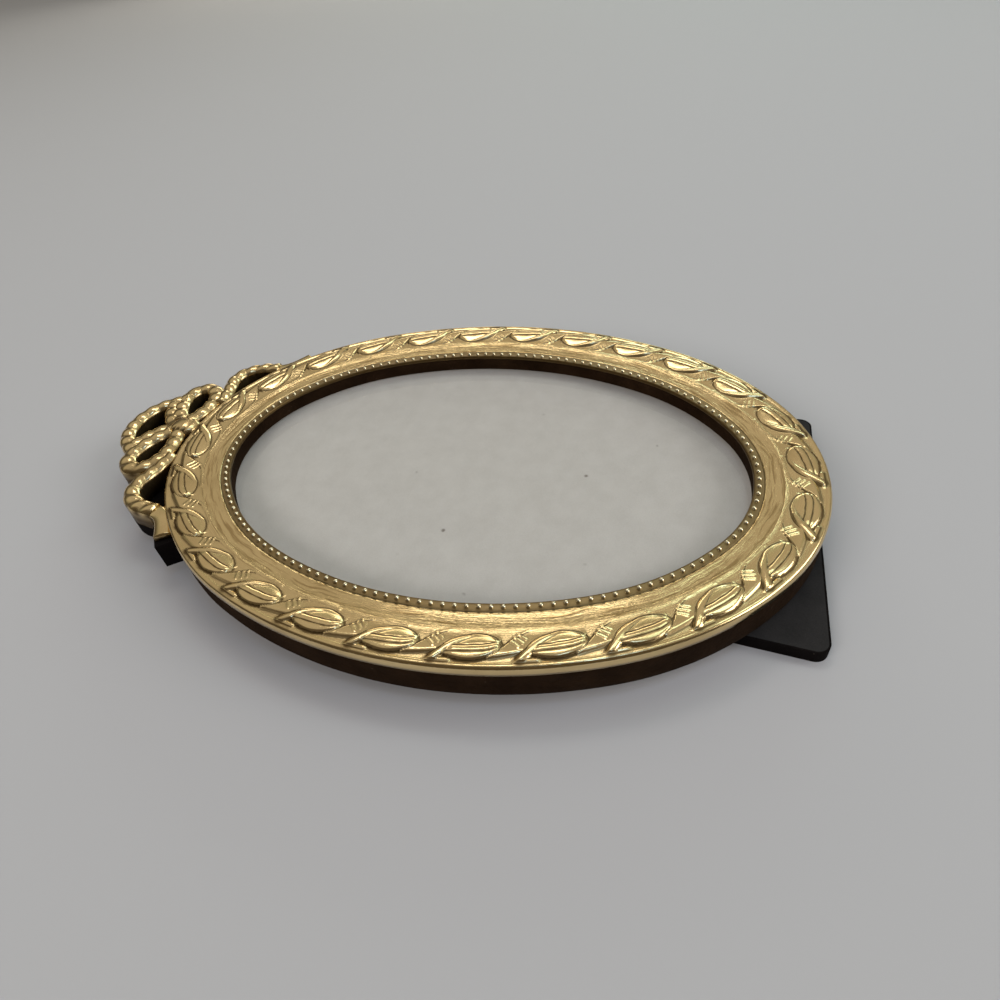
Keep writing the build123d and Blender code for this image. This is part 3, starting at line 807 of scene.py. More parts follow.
@dataclass(frozen=True)
class LaurelBand:
    """The raised band: clusters of three leaves crossed by a slanting ribbon, repeated round the oval.

    Places within a unit are shares of its length, which may run on into the next unit, and of the
    band's width from its inner edge to its outer edge. Spans, rises, blurs and the tarnish's shift are
    such shares too, and so are the fades of the brink, the crest and the band's two rims. Heights,
    depths, radii and the fades of the tip and the brim are in millimetres.
    """

    units: int = 26
    columns: int = 74
    first_unit: float = 19.94
    reference: float = 14.0
    inner: float = 8.5
    width: float = 9.6
    ceiling: float = 1.97

    leaf_heights: tuple[float, ...] = (0.12, 0.84, 0.96, 0.56)
    leaf_bulge: float = 0.1
    leaf_span: Pair = (0.03, 0.9)
    leaf_tip: float = 0.87
    tip_fade: float = 1.3
    brim_fade: Pair = (-0.1, 0.45)
    full_width: float = 4.6
    least_facet: float = 0.02
    groove_depth: float = 0.14
    groove_radius: float = 0.34

    ribbon_high: float = 0.62
    ribbon_span: Pair = (0.684, 1.16)
    ribbon_rise: Pair = (0.14, 0.72)
    ribbon_blur: float = 0.012
    brink_fade: Pair = (-0.04, 0.1)
    crest_fade: float = 0.09
    crest_rise: float = 0.78
    line_height: float = 0.14
    line_radius: float = 0.34
    pleat_height: float = 0.17
    pleat_radius: float = 0.36
    foot_height: float = 0.4
    foot_radius: float = 0.9
    inner_fade: Pair = (-0.07, 0.02)
    outer_fade: Pair = (0.985, 1.035)

    tarnish_radius: float = 0.42
    tarnish_shift: float = 0.02
    tarnish_start: float = 0.25
    tarnish_weights: tuple[float, ...] = (1.0, 0.9, 0.7, 0.7)

    leaf_samples: int = 160
    edge_samples: int = 400
    crest_samples: int = 120
    brink_samples: int = 80
    line_samples: tuple[int, int] = (40, 6)

    inner_share: Course = (
        (0.03, 1.02), (0.047, 0.98), (0.13, 0.776), (0.217, 0.556), (0.30, 0.42), (0.373, 0.31),
        (0.437, 0.225), (0.534, 0.175), (0.652, 0.195), (0.765, 0.28), (0.826, 0.40), (0.845, 0.47),
    )
    side_share: Course = (
        (0.17, 0.80), (0.20, 0.845), (0.276, 0.912), (0.383, 0.955), (0.492, 0.965), (0.603, 0.925),
        (0.684, 0.865), (0.758, 0.78), (0.826, 0.65),
    )
    outer_share: Course = ((0.03, 0.98), (0.12, 0.80), *side_share, (0.845, 0.60))
    first_groove_share: Course = (
        (0.27, 0.57), (0.423, 0.547), (0.515, 0.526), (0.631, 0.51), (0.725, 0.475), (0.83, 0.43),
    )
    second_groove_share: Course = (
        (0.16, 0.76), (0.336, 0.742), (0.505, 0.723), (0.618, 0.708), (0.71, 0.675), (0.80, 0.60),
    )
    edge_share: Course = (
        *side_share, (0.899, 0.488), (0.977, 0.312), (1.067, 0.155), (1.152, 0.075), (1.256, 0.04),
        (1.383, 0.02), (1.54, 0.01), (1.66, 0.05),
    )
    crest_share: Course = (
        (1.035, 1.0, 0.8), (1.07, 0.92, 1.05), (1.13, 0.776, 1.25), (1.217, 0.566, 1.28),
        (1.318, 0.40, 1.05), (1.437, 0.27, 0.66), (1.534, 0.205, 0.44), (1.652, 0.22, 0.34),
        (1.765, 0.30, 0.28), (1.826, 0.41, 0.24),
    )
    brink_share: Course = (
        (0.684, 0.865), (0.741, 0.848), (0.857, 0.804), (0.95, 0.769), (1.046, 0.723), (1.13, 0.66),
    )
    pleat_share: tuple[Course, ...] = (
        ((1.03, 0.17), (1.075, 0.245), (1.13, 0.36)),
        ((0.985, 0.265), (1.03, 0.345), (1.09, 0.48)),
        ((0.94, 0.375), (0.98, 0.455), (1.04, 0.59)),
    )
    foot_share: Course = ((1.1, 0.985), (1.24, 1.0))

    def length(self) -> float:
        """Length of one unit along the reference oval."""
        return OVAL.perimeter(self.reference) / self.units

    def steps(self, along: np.ndarray, across: np.ndarray, line: np.ndarray) -> Iterator[tuple]:
        """Steps from each point of a line to each place, for the line in the last, this and the next unit.

        Args:
            along: Shares of the unit's length.
            across: Shares of the band's width.
            line: Points of the line, in shares.

        Yields:
            Steps along and across in millimetres, with the line's points on the last axis.
        """
        for shift in (-1, 0, 1):
            step = (along[..., None] - line[:, 0] - shift) * self.length()
            yield step, (across[..., None] - line[:, 1]) * self.width

    def near(self, along: np.ndarray, across: np.ndarray, course: Course, radius: float) -> np.ndarray:
        """How near each place of a unit lies to a course that repeats each unit.

        It is one minus the squared least distance over the radius, and 0 beyond the radius.

        Args:
            along: Shares of the unit's length.
            across: Shares of the band's width.
            course: Points of the course, in shares.
            radius: Reach of the course, in millimetres.

        Returns:
            One value from 0 to 1 for each place.
        """
        least_samples, samples_each = self.line_samples
        line = smooth_curve(course, least_samples + samples_each * len(course))
        least = np.full(along.shape, np.inf)
        for step, rise in self.steps(along, across, line):
            least = np.minimum(least, np.hypot(step, rise).min(-1))
        return np.clip(1 - (least / radius) ** 2, 0, 1)

    def rolled(self, along: np.ndarray, across: np.ndarray, course: Course) -> np.ndarray:
        """Height of a round roll that follows a course and swells with the radius given at each point.

        It is the greatest of sqrt(r^2 - d^2), with d the distance to a point of the course.

        Args:
            along: Shares of the unit's length.
            across: Shares of the band's width.
            course: Points of the course in shares, each with a radius in millimetres.

        Returns:
            Heights in millimetres.
        """
        line = smooth_curve(course, self.crest_samples)
        most = np.zeros(along.shape)
        for step, rise in self.steps(along, across, line):
            most = np.maximum(most, (line[:, 2] ** 2 - step**2 - rise**2).max(-1))
        return np.sqrt(most)

    def leaves(self, along: np.ndarray, across: np.ndarray) -> np.ndarray:
        """Height of the three leaves.

        Each leaf is a facet between the heights of its two edges, plus a low parabola. The cluster
        thins by the root of its width where it is narrow, and falls at its outer brim and its tip.

        Args:
            along: Shares of the unit's length.
            across: Shares of the band's width.

        Returns:
            Heights in millimetres.
        """
        height = np.zeros(along.shape)
        courses = (self.inner_share, self.first_groove_share, self.second_groove_share, self.outer_share)
        for shift in (0, 1):
            here = along + shift
            edges = [np.interp(here, *smooth_curve(course, self.leaf_samples).T) for course in courses]
            inside = (across > edges[0]) * (here > self.leaf_span[0]) * (here < self.leaf_span[1])
            brim = smooth_step((edges[3] - across) * self.width, *self.brim_fade)
            tip = smooth_step((self.leaf_tip - here) * self.length(), 0.0, self.tip_fade)
            thin = np.clip((edges[3] - edges[0]) * self.width / self.full_width, 0, 1) ** 0.5
            facet = np.zeros(along.shape)
            for low, high, foot, top in zip(edges, edges[1:], self.leaf_heights, self.leaf_heights[1:]):
                share = (across - low) / np.maximum(high - low, self.least_facet)
                slope = foot + (top - foot) * share + self.leaf_bulge * 4 * share * (1 - share)
                outermost = high is edges[-1]
                facet = np.where((share >= 0) & ((share <= 1) | outermost), slope, facet)
            height = np.maximum(height, inside * facet * thin * brim * tip)
        return height

    def ribbon(self, along: np.ndarray, across: np.ndarray) -> np.ndarray:
        """Height of the ribbon between the slanting edge and the crest.

        It rises toward the outer rim, and drops to the floor past its brink except beside the crest.

        Args:
            along: Shares of the unit's length.
            across: Shares of the band's width.

        Returns:
            Heights in millimetres.
        """
        edge = smooth_curve(self.edge_share, self.edge_samples)
        edge = edge[(edge[:, 0] > self.ribbon_span[0]) & (edge[:, 0] < self.ribbon_span[1])]
        crest = smooth_curve(self.crest_share, self.crest_samples)
        brink = smooth_curve(self.brink_share, self.brink_samples)
        left = np.interp(across, edge[::-1, 1], edge[::-1, 0])
        right = np.interp(across, crest[::-1, 1], crest[::-1, 0])
        body = self.ribbon_high * smooth_step(across, *self.ribbon_rise)
        height = np.zeros(along.shape)
        for shift in (0, 1):
            here = along + shift
            inside = smooth_step(here, left - self.ribbon_blur, left + self.ribbon_blur) * (here <= right)
            fall = np.interp(here, brink[:, 0], brink[:, 1])
            past = smooth_step(across, fall + self.brink_fade[0], fall + self.brink_fade[1])
            brim = past * (1 - smooth_step(here, right - self.crest_fade, right))
            height = np.maximum(height, inside * (body * (1 - brim)))
        return height

    def outline(self, along: np.ndarray, across: np.ndarray) -> np.ndarray:
        """How much tarnish gathers along the edges and grooves of the leaves, from 0 to 1.

        Args:
            along: Shares of the unit's length.
            across: Shares of the band's width.

        Returns:
            One value for each place.
        """
        shift = self.tarnish_shift
        inner = tuple((place, rise - shift) for place, rise in self.inner_share if place > self.tarnish_start)
        outer = tuple((place, rise + shift) for place, rise in self.edge_share if place < self.ribbon_span[1])
        dark = np.zeros(along.shape)
        courses = (inner, outer, self.first_groove_share, self.second_groove_share)
        for course, weight in zip(courses, self.tarnish_weights):
            dark = np.maximum(dark, weight * self.near(along, across, course, self.tarnish_radius))
        return dark

    def relief(self, along: np.ndarray, across: np.ndarray) -> np.ndarray:
        """Height of the pattern above the band's floor.

        The leaves or the ribbon, whichever is higher, are cut by the grooves. The crest is laid over
        them, the line along the edge and the pleats are added, and the crest's foot is laid over all.
        The whole fades out at the band's two rims.

        Args:
            along: Shares of the unit's length, from 0 to 1.
            across: Shares of the band's width.

        Returns:
            Heights in millimetres.
        """
        height = np.maximum(self.leaves(along, across), self.ribbon(along, across))
        for course in (self.first_groove_share, self.second_groove_share):
            height = height - self.groove_depth * self.near(along, across, course, self.groove_radius)
        height = np.maximum(height, self.crest_rise * self.rolled(along, across, self.crest_share))
        height = height + self.line_height * self.near(along, across, self.edge_share, self.line_radius)
        for course in self.pleat_share:
            height = height + self.pleat_height * self.near(along, across, course, self.pleat_radius)
        foot = self.near(along, across, self.foot_share, self.foot_radius)
        height = np.maximum(height, self.foot_height * np.sqrt(foot))
        return height * smooth_step(across, *self.inner_fade) * (1 - smooth_step(across, *self.outer_fade))


@dataclass
class BrassFace:
    """The stamped brass: bead channel, cove, laurel band, rolled edge and the row of beads.

    Lengths are in millimetres. Each line gives offsets from the lip oval and heights above the lip's
    level.
    """

    finishes: Finishes
    slot: str = "aged_brass"
    lip: float = 15.0
    sheet: float = 0.5
    skirt: float = 1.4
    seam: float = 2.75
    edge: float = 20.1

    channel_rows: int = 22
    channel_columns: int = 480
    under_step: int = 4
    channel_width: float = 6.0
    channel_shades: Pair = (0.78, 0.22)
    lip_shadow_fade: Pair = (0.35, 0.7)

    band_width: float = 30.0
    cove_samples: int = 400
    cove_end: float = 8.2
    cove_rows: int = 6
    roll_start: float = 18.3
    laurel_rows: int = 35
    roll_rows: int = 7
    blur_rounds: int = 4
    cavity_level: float = 0.3
    cavity_gain: float = 6.0
    outline_share: float = 0.5
    seam_shade: float = 0.7
    grain_fade: Pair = (0.02, 0.2)
    grain_loss: float = 0.8
    grain_reach: float = 1.0

    bead_count: int = 145
    bead_rings: int = 4
    bead_sides: int = 12
    bead_radius: float = 0.74
    bead_offset: float = 1.4
    bead_height: float = 0.8
    bead_turn: float = 0.82
    bead_tip: float = 1.02
    bead_foot: float = 0.35
    bead_sink: float = 0.2

    channel_line: Course = (
        (0.0, -1.1), (0.0, -0.75), (0.08, -0.38), (0.28, -0.14), (0.55, -0.08), (0.9, -0.14), (1.5, -0.16),
        (2.1, -0.16), (2.5, -0.1), (2.85, -0.03),
    )
    cove_line: Course = (
        (2.75, -0.06), (3.0, -0.03), (3.5, -0.03), (4.3, -0.02), (5.1, 0.01), (6.0, 0.08), (7.0, 0.2),
        (7.8, 0.36), (8.3, 0.47), (9.0, 0.52), (10.5, 0.62), (13.0, 0.8), (15.5, 0.98), (17.3, 1.1),
        (17.9, 1.13), (18.2, 1.14), (18.45, 1.26), (18.75, 1.46), (19.1, 1.54), (19.45, 1.44), (19.8, 1.08),
        (20.02, 0.6), (20.1, 0.1), (20.1, -0.5), (20.1, -1.4),
    )
    under_line: Course = ((18.4, 0.6), (3.2, -0.5))

    def build(self) -> None:
        """Makes the three brass pieces of the face."""
        self.build_channel()
        self.build_band()
        self.build_beads()

    def build_channel(self) -> None:
        """Makes the lip and the narrow channel that the beads stand in.

        Its section is the channel's line and the same line a sheet lower, with fewer points. It is
        darkened throughout, and most along the lip's rounded edge, where the darkening is a painted shadow
        line.
        """
        top = smooth_curve(self.channel_line, self.channel_rows)
        under = top[::-1] - np.array([0, self.sheet])
        under[:, 0] = np.maximum(under[:, 0], self.sheet)
        under[:, 1] = np.maximum(under[:, 1], self.channel_line[0][1])
        section = np.vstack([top, under[::self.under_step]])
        grid = OVAL.sweep(OVAL.even(self.channel_columns, 0), 0, section[:, 0], section[:, 1] + self.lip)
        # Painted shade: an even darkening across the channel, and a painted shadow line at the lip.
        base, more = self.channel_shades
        shade = base + more * (1 - smooth_step(section[:, 0], *self.lip_shadow_fade))
        shade = np.broadcast_to(shade, grid.shape[:2]).copy()
        piece = surface_mesh("lip_channel", grid, True, (OVAL.perimeter(0), self.channel_width), shade)
        finish_piece(piece, self.finishes.face_brass)

    def band_section(self) -> tuple[np.ndarray, int]:
        """Smooth section of the band, with its rows closest together under the laurel.

        Returns:
            Offsets and heights of the rows, and how many rows come before the rolled edge.
        """
        line = smooth_curve(self.cove_line, self.cove_samples)
        cove = np.linspace(self.seam, self.cove_end, self.cove_rows, endpoint=False)
        laurel = np.linspace(self.cove_end, self.roll_start, self.laurel_rows, endpoint=False)
        offsets = np.concatenate([cove, laurel])
        heights = np.interp(offsets, line[:, 0], line[:, 1])
        roll = line[line[:, 0] >= self.roll_start]
        roll = roll[np.linspace(0, len(roll) - 1, self.roll_rows).astype(int)]
        return np.vstack([np.stack([offsets, heights], 1), roll]), len(offsets)

    def shade_and_tarnish(self, relief: np.ndarray, outline: np.ndarray) -> np.ndarray:
        """How deep each place lies in the pattern, from 0 to 1, for the painted shade and tarnish.

        It grows with how far the relief lies under its own average over a few neighbours, which paints
        shade and tarnish into the hollows, and with the tarnish along the leaves' edges. The average wraps
        round from one unit to the next.

        Args:
            relief: Heights of one unit's pattern, along by across.
            outline: Tarnish along the edges, in the same shape.

        Returns:
            One value for each place.
        """
        blurred = relief.copy()
        for _ in range(self.blur_rounds):
            padded = np.pad(blurred, ((0, 0), (1, 1)), mode="edge")
            across_mean = (padded[:, :-2] + padded[:, 2:] + 2 * blurred) / 4
            blurred = (np.roll(across_mean, 1, 0) + np.roll(across_mean, -1, 0) + 2 * across_mean) / 4
        depth = self.cavity_level + self.cavity_gain * (blurred - relief) + self.outline_share * outline
        shade_and_tarnish = np.clip(depth, 0, 1)
        # Painted shade at the step between the channel and the cove.
        shade_and_tarnish[:, :1] = self.seam_shade
        return shade_and_tarnish

    def build_band(self) -> None:
        """Makes the cove, the laurel band and the rolled edge as one closed sheet.

        The height of one unit is the smooth section plus the laurel relief, up to a ceiling. It is
        repeated round the oval. The streaks' grain fades on the raised pattern and past the cove.
        """
        band = LaurelBand()
        section, open_rows = self.band_section()
        place = (np.arange(band.columns) / band.columns)[:, None]
        across = ((section[:, 0] - band.inner) / band.width)[None, :]
        place, across = np.broadcast_arrays(place, across)
        relief = band.relief(place, across)
        relief[:, open_rows:] = 0
        height = np.minimum(section[:, 1] + relief, band.ceiling)
        under = np.array([(self.edge - self.sheet, -self.skirt), *self.under_line])
        plain = np.zeros((band.columns, len(under)))
        heights = np.tile(np.hstack([height, plain + under[:, 1]]), (band.units, 1)) + self.lip
        shade_and_tarnish = self.shade_and_tarnish(relief, band.outline(place, across))
        shades = np.tile(np.hstack([shade_and_tarnish, plain]), (band.units, 1))
        offsets = np.concatenate([section[:, 0], under[:, 0]])
        total = OVAL.perimeter(band.reference)
        along = band.first_unit + OVAL.even(band.units * band.columns, band.reference)
        grid = OVAL.sweep(along, band.reference, offsets, heights)
        piece = surface_mesh("laurel_face", grid, True, (total, self.band_width), shades)
        level = 1 - smooth_step(np.hstack([relief, plain]), *self.grain_fade)
        past_cove = smooth_step(offsets, band.inner, band.inner + self.grain_reach)
        grain = level * (1 - self.grain_loss * past_cove)
        store_values(piece.data, "grain", np.tile(grain, (band.units, 1)))
        finish_piece(piece, self.finishes.face_brass, ["brass_face"])

    def dome(self) -> np.ndarray:
        """Points of one bead: the ring of its foot, the rings of its dome and its tip.

        A ring's radius is the cosine of its angle and its height the sine.

        Returns:
            Points outward, along the oval and upward, in millimetres.
        """
        tilt = np.linspace(0, math.pi / 2 * self.bead_turn, self.bead_rings)[:, None]
        turn = np.arange(self.bead_sides) / self.bead_sides * TURN
        reach = np.cos(tilt) * self.bead_radius
        rise = np.broadcast_to(np.sin(tilt) * self.bead_height, (self.bead_rings, self.bead_sides))
        rings = np.stack([reach * np.cos(turn), reach * np.sin(turn), rise], -1).reshape(-1, 3)
        foot = rings[:self.bead_sides] - np.array([0, 0, self.bead_foot])
        return np.vstack([foot, rings, [[0, 0, self.bead_height * self.bead_tip]]])

    def bead_faces(self) -> list[list[int]]:
        """Faces of all the beads: quads between rings, a fan at each tip and one face under each foot.

        Returns:
            For each face, the numbers of its points in order.
        """
        sides = self.bead_sides
        side = np.arange(sides)
        after = (side + 1) % sides
        low = np.arange(self.bead_rings)[:, None] * sides
        high = low + sides
        top = self.bead_rings * sides
        quads = np.stack([low + side, low + after, high + after, high + side], -1).reshape(-1, 4)
        fans = np.stack([top + side, top + after, np.full(sides, top + sides)], 1)
        shift = np.arange(self.bead_count)[:, None, None] * (top + sides + 1)
        faces = []
        for part in (quads, fans, side[None, ::-1]):
            faces += (part + shift).reshape(-1, part.shape[1]).tolist()
        return faces

    def build_beads(self) -> None:
        """Makes the row of round beads, all in one mesh, evenly spaced along the channel."""
        dome = self.dome()
        along = (np.arange(self.bead_count) + 0.5) / self.bead_count * OVAL.perimeter(self.bead_offset)
        centre, radius, angle = OVAL.stations(along, self.bead_offset)
        level = np.zeros(self.bead_count)
        normal = np.stack([np.cos(angle), np.sin(angle), level], 1)
        tangent = np.stack([-np.sin(angle), np.cos(angle), level], 1)
        middle = np.hstack([centre, level[:, None]]) + normal * (radius + self.bead_offset)[:, None]
        middle[:, 2] = self.lip - self.bead_sink
        spread = dome[:, 0, None] * normal[:, None] + dome[:, 1, None] * tangent[:, None]
        points = middle[:, None] + spread + dome[:, 2, None] * np.array([0, 0, 1.0])
        faces = self.bead_faces()
        mesh = bpy.data.meshes.new("beads")
        mesh.from_pydata((points.reshape(-1, 3) * MM).tolist(), [], faces)
        mesh.polygons.foreach_set("use_smooth", np.ones(len(faces), bool))
        mesh.update()
        finish_piece(add_object("beads", mesh), self.finishes.bead_brass, ["bead_rim"])


@dataclass(frozen=True)
class Strand:
    """One strand of the bow: its course, its width and its row of lobes.

    Lengths are in millimetres. The course is a polygon in shares of the bow's half width and height.
    """

    name: str
    course_share: Course
    width: float = 5.6
    crown: float = 2.0
    wall: float = 5.6
    lift: float = 0.0
    pitch: float = 4.7
    slant: float = 0.1
    depth: float = 0.2
    mirror: bool = True


@dataclass(frozen=True)
class Knot:
    """The puffed knot, in millimetres from its own middle. The powers make its outline and dome full."""

    rings: int = 26
    sides: int = 72
    half_width: float = 4.7
    half_height: float = 5.4
    width_power: float = 0.75
    height_power: float = 0.8
    taper: float = 0.035
    puff: float = 2.85
    puff_power: float = 2.4
    sink: float = 0.1
    gather: Pair = (1.6, 3.4)
    pleat_depth: float = 0.5
    pleat_lean: float = 0.35
    pleat_pitch: float = 2.1
    pinch_depth: float = 0.35
    pinch_place: float = -2.6
    pinch_reach: float = 1.0
    wall_drops: Pair = (2.0, 5.6)
    crown_shade: float = 0.16
    pleat_shade: float = 1.6
    pinch_shade: float = 0.8
    side_shade: float = 0.3
    wall_shade: float = 0.85
    span: Pair = (8.0, 24.0)

    def build(self, shoulder: float, middle: float) -> bpy.types.Object:
        """Makes the knot: a pillow, smooth in its middle and gathered into pleats at both sides.

        Its plan is a superellipse that narrows toward the arch. Its height is a dome less a wave of
        pleats, which grows with the distance from the middle, and less a pinch at its foot.

        Args:
            shoulder: Height of the strands' shoulder.
            middle: Y of the knot's middle.

        Returns:
            The new piece.
        """
        reach = np.sin(np.linspace(0, math.pi / 2, self.rings))[:, None]
        turn = np.arange(self.sides) / self.sides * TURN
        round_x = np.sign(np.cos(turn)) * np.abs(np.cos(turn)) ** self.width_power
        round_y = np.sign(np.sin(turn)) * np.abs(np.sin(turn)) ** self.height_power
        y = reach * round_y * self.half_height
        x = reach * round_x * self.half_width * (1 - self.taper * np.maximum(y, 0))
        dome = np.sqrt(np.clip(1 - reach**self.puff_power, 0, 1)) * np.ones(self.sides)
        gather = smooth_step(np.abs(x), *self.gather)
        wave = 0.5 - 0.5 * np.cos((y - self.pleat_lean * np.abs(x)) * TURN / self.pleat_pitch)
        pleat = self.pleat_depth * gather * wave
        pinch = self.pinch_depth * np.exp(-((y - self.pinch_place) / self.pinch_reach) ** 2) * (1 - gather)
        top = shoulder - self.sink + self.puff * dome - (pleat + pinch) * dome
        # Painted shade: darker in the pleats, at the pinch, down the dome's sides and on the walls.
        shade = self.crown_shade + self.pleat_shade * pleat + self.pinch_shade * pinch
        shade = np.clip(shade + self.side_shade * (1 - dome), 0, 1)
        walls = [np.full((1, self.sides), shoulder - drop) for drop in self.wall_drops]
        rows_x = np.vstack([x, x[-1], x[-1]])
        rows_y = np.vstack([y, y[-1], y[-1]])
        grid = np.stack([rows_x, rows_y + middle, np.vstack([top, *walls])], -1)
        shades = np.vstack([shade, np.full((len(walls), self.sides), self.wall_shade)])
        return surface_mesh("bow_knot", grid[1:], False, self.span, shades[1:])


@dataclass
class RibbonBow:
    """Pierced ribbon bow: rope-like strands with upright walls, tied by a puffed knot."""

    finishes: Finishes
    slot: str = "aged_brass"
    half_width: float = 52.0
    height: float = 28.7
    end: float = 102.6
    shoulder: float = 14.2
    knot_share: float = 0.205

    strand_columns: int = 19
    row_step: float = 0.25
    least_rows: int = 12
    course_samples: int = 200
    lobe_power: float = 0.7
    waist: float = 0.22
    crown_shade: float = 0.16
    dip_shade: float = 1.6
    side_shade: float = 0.42
    wall_drops: Triple = (0.25, 0.6, 1.0)
    wall_shades: Triple = (0.72, 0.9, 1.0)

    strands: tuple[Strand, ...] = (
        Strand("bow_arch", ((-0.295, 0.50), (-0.265, 0.66), (-0.16, 0.86), (0.0, 0.935), (0.16, 0.86),
                            (0.265, 0.66), (0.295, 0.50)), mirror=False),
        Strand("bow_fork", ((0.019, 0.33), (0.04, 0.44), (0.13, 0.57), (0.235, 0.66)), lift=-0.12),
        Strand("bow_loop", ((0.058, 0.34), (0.16, 0.475), (0.29, 0.56), (0.385, 0.54), (0.453, 0.41),
                            (0.43, 0.24), (0.32, 0.125), (0.18, 0.14), (0.067, 0.223)),
               width=6.0, lift=-0.04),
        Strand("bow_tail", ((0.29, 0.02), (0.46, 0.07), (0.567, 0.14), (0.673, 0.09), (0.748, -0.10),
                            (0.763, -0.34), (0.765, -0.36)), lift=-0.08, slant=0.3),
        Strand("bow_ribbon", ((0.757, -0.27), (0.768, -0.40), (0.80, -0.50), (0.86, -0.59), (0.94, -0.68)),
               width=5.0, crown=0.9, wall=1.6, depth=0.0),
    )

    def section(self, strand: Strand, along: np.ndarray) -> tuple[np.ndarray, np.ndarray, np.ndarray]:
        """Side offset, height and painted shade of the strand's section at each place along it.

        The crown is a half ellipse. Each lobe is a power of a raised cosine, so that it is broad on top
        with a narrow valley beside it, and its phase slants across the strand. The walls go straight down.
        The shade is painted: darker in the valleys, toward the crown's sides and down the walls.

        Args:
            strand: The strand.
            along: Lengths along the strand, in millimetres.

        Returns:
            Three arrays, along by across.
        """
        lean = np.sin(np.linspace(-0.5, 0.5, self.strand_columns) * math.pi)
        phase = along[:, None] / strand.pitch + strand.slant * lean
        lobe = (0.5 + 0.5 * np.cos(TURN * phase)) ** self.lobe_power
        dip = strand.depth * (1 - lobe)
        side = lean * (strand.width / 2) * (1 - self.waist * dip)
        arch = np.sqrt(np.clip(1 - lean**2, 0, 1))
        shoulder = self.shoulder + strand.lift
        top = shoulder + strand.crown * arch * (1 - dip)
        # Painted shade in the valleys between lobes and on the crown's sides.
        hollow = self.crown_shade + self.dip_shade * dip + self.side_shade * (1 - arch)
        hollow = np.clip(hollow, 0, 1)
        down = shoulder - strand.wall * np.array(self.wall_drops)
        down[-1] = self.shoulder - strand.wall
        wall = np.ones((len(along), len(down)))
        offsets = np.hstack([side[:, :1] * wall, side, side[:, -1:] * wall])
        heights = np.hstack([down[::-1] * wall, top, down * wall])
        # Painted shade on the walls, darkest at their foot.
        dark = np.array(self.wall_shades)
        shades = np.hstack([dark[::-1] * wall, hollow, dark * wall])
        return offsets, heights, shades

    def build_strand(self, strand: Strand, side: int, suffix: str) -> bpy.types.Object:
        """Sweeps a strand's section along its course.

        Args:
            strand: The strand.
            side: 1 for the right side, -1 for the left.
            suffix: Ending of the piece's name.

        Returns:
            The new piece.
        """
        shares = np.array(strand.course_share) * np.array([side, 1])
        places = shares * np.array([self.half_width, self.height]) + np.array([0, self.end])
        rough = corner_curve(places, self.course_samples)
        length = float(np.linalg.norm(np.diff(rough, axis=0), axis=1).sum())
        count = max(self.least_rows, int(length / self.row_step))
        course = corner_curve(places, count)
        heading = np.gradient(course, axis=0)
        heading /= np.linalg.norm(heading, axis=1)[:, None]
        across = np.stack([heading[:, 1], -heading[:, 0]], 1)
        offsets, heights, shades = self.section(strand, np.linspace(0, length, count))
        plan = course[:, None] + offsets[..., None] * across[:, None]
        grid = np.concatenate([plan, heights[..., None]], -1)
        return surface_mesh(strand.name + suffix, grid, False, (length, strand.width * 2), shades)

    def build(self) -> None:
        """Makes every strand, on both sides where it is mirrored, and the knot.

        The knot stands for the CAD bow.
        """
        for strand in self.strands:
            for side, suffix in ((1, "_right"), (-1, "_left")) if strand.mirror else ((1, ""),):
                piece = self.build_strand(strand, side, suffix)
                finish_piece(piece, self.finishes.bow_brass)
        knot = Knot().build(self.shoulder, self.end + self.knot_share * self.height)
        finish_piece(knot, self.finishes.bow_brass, ["bow_crest"])


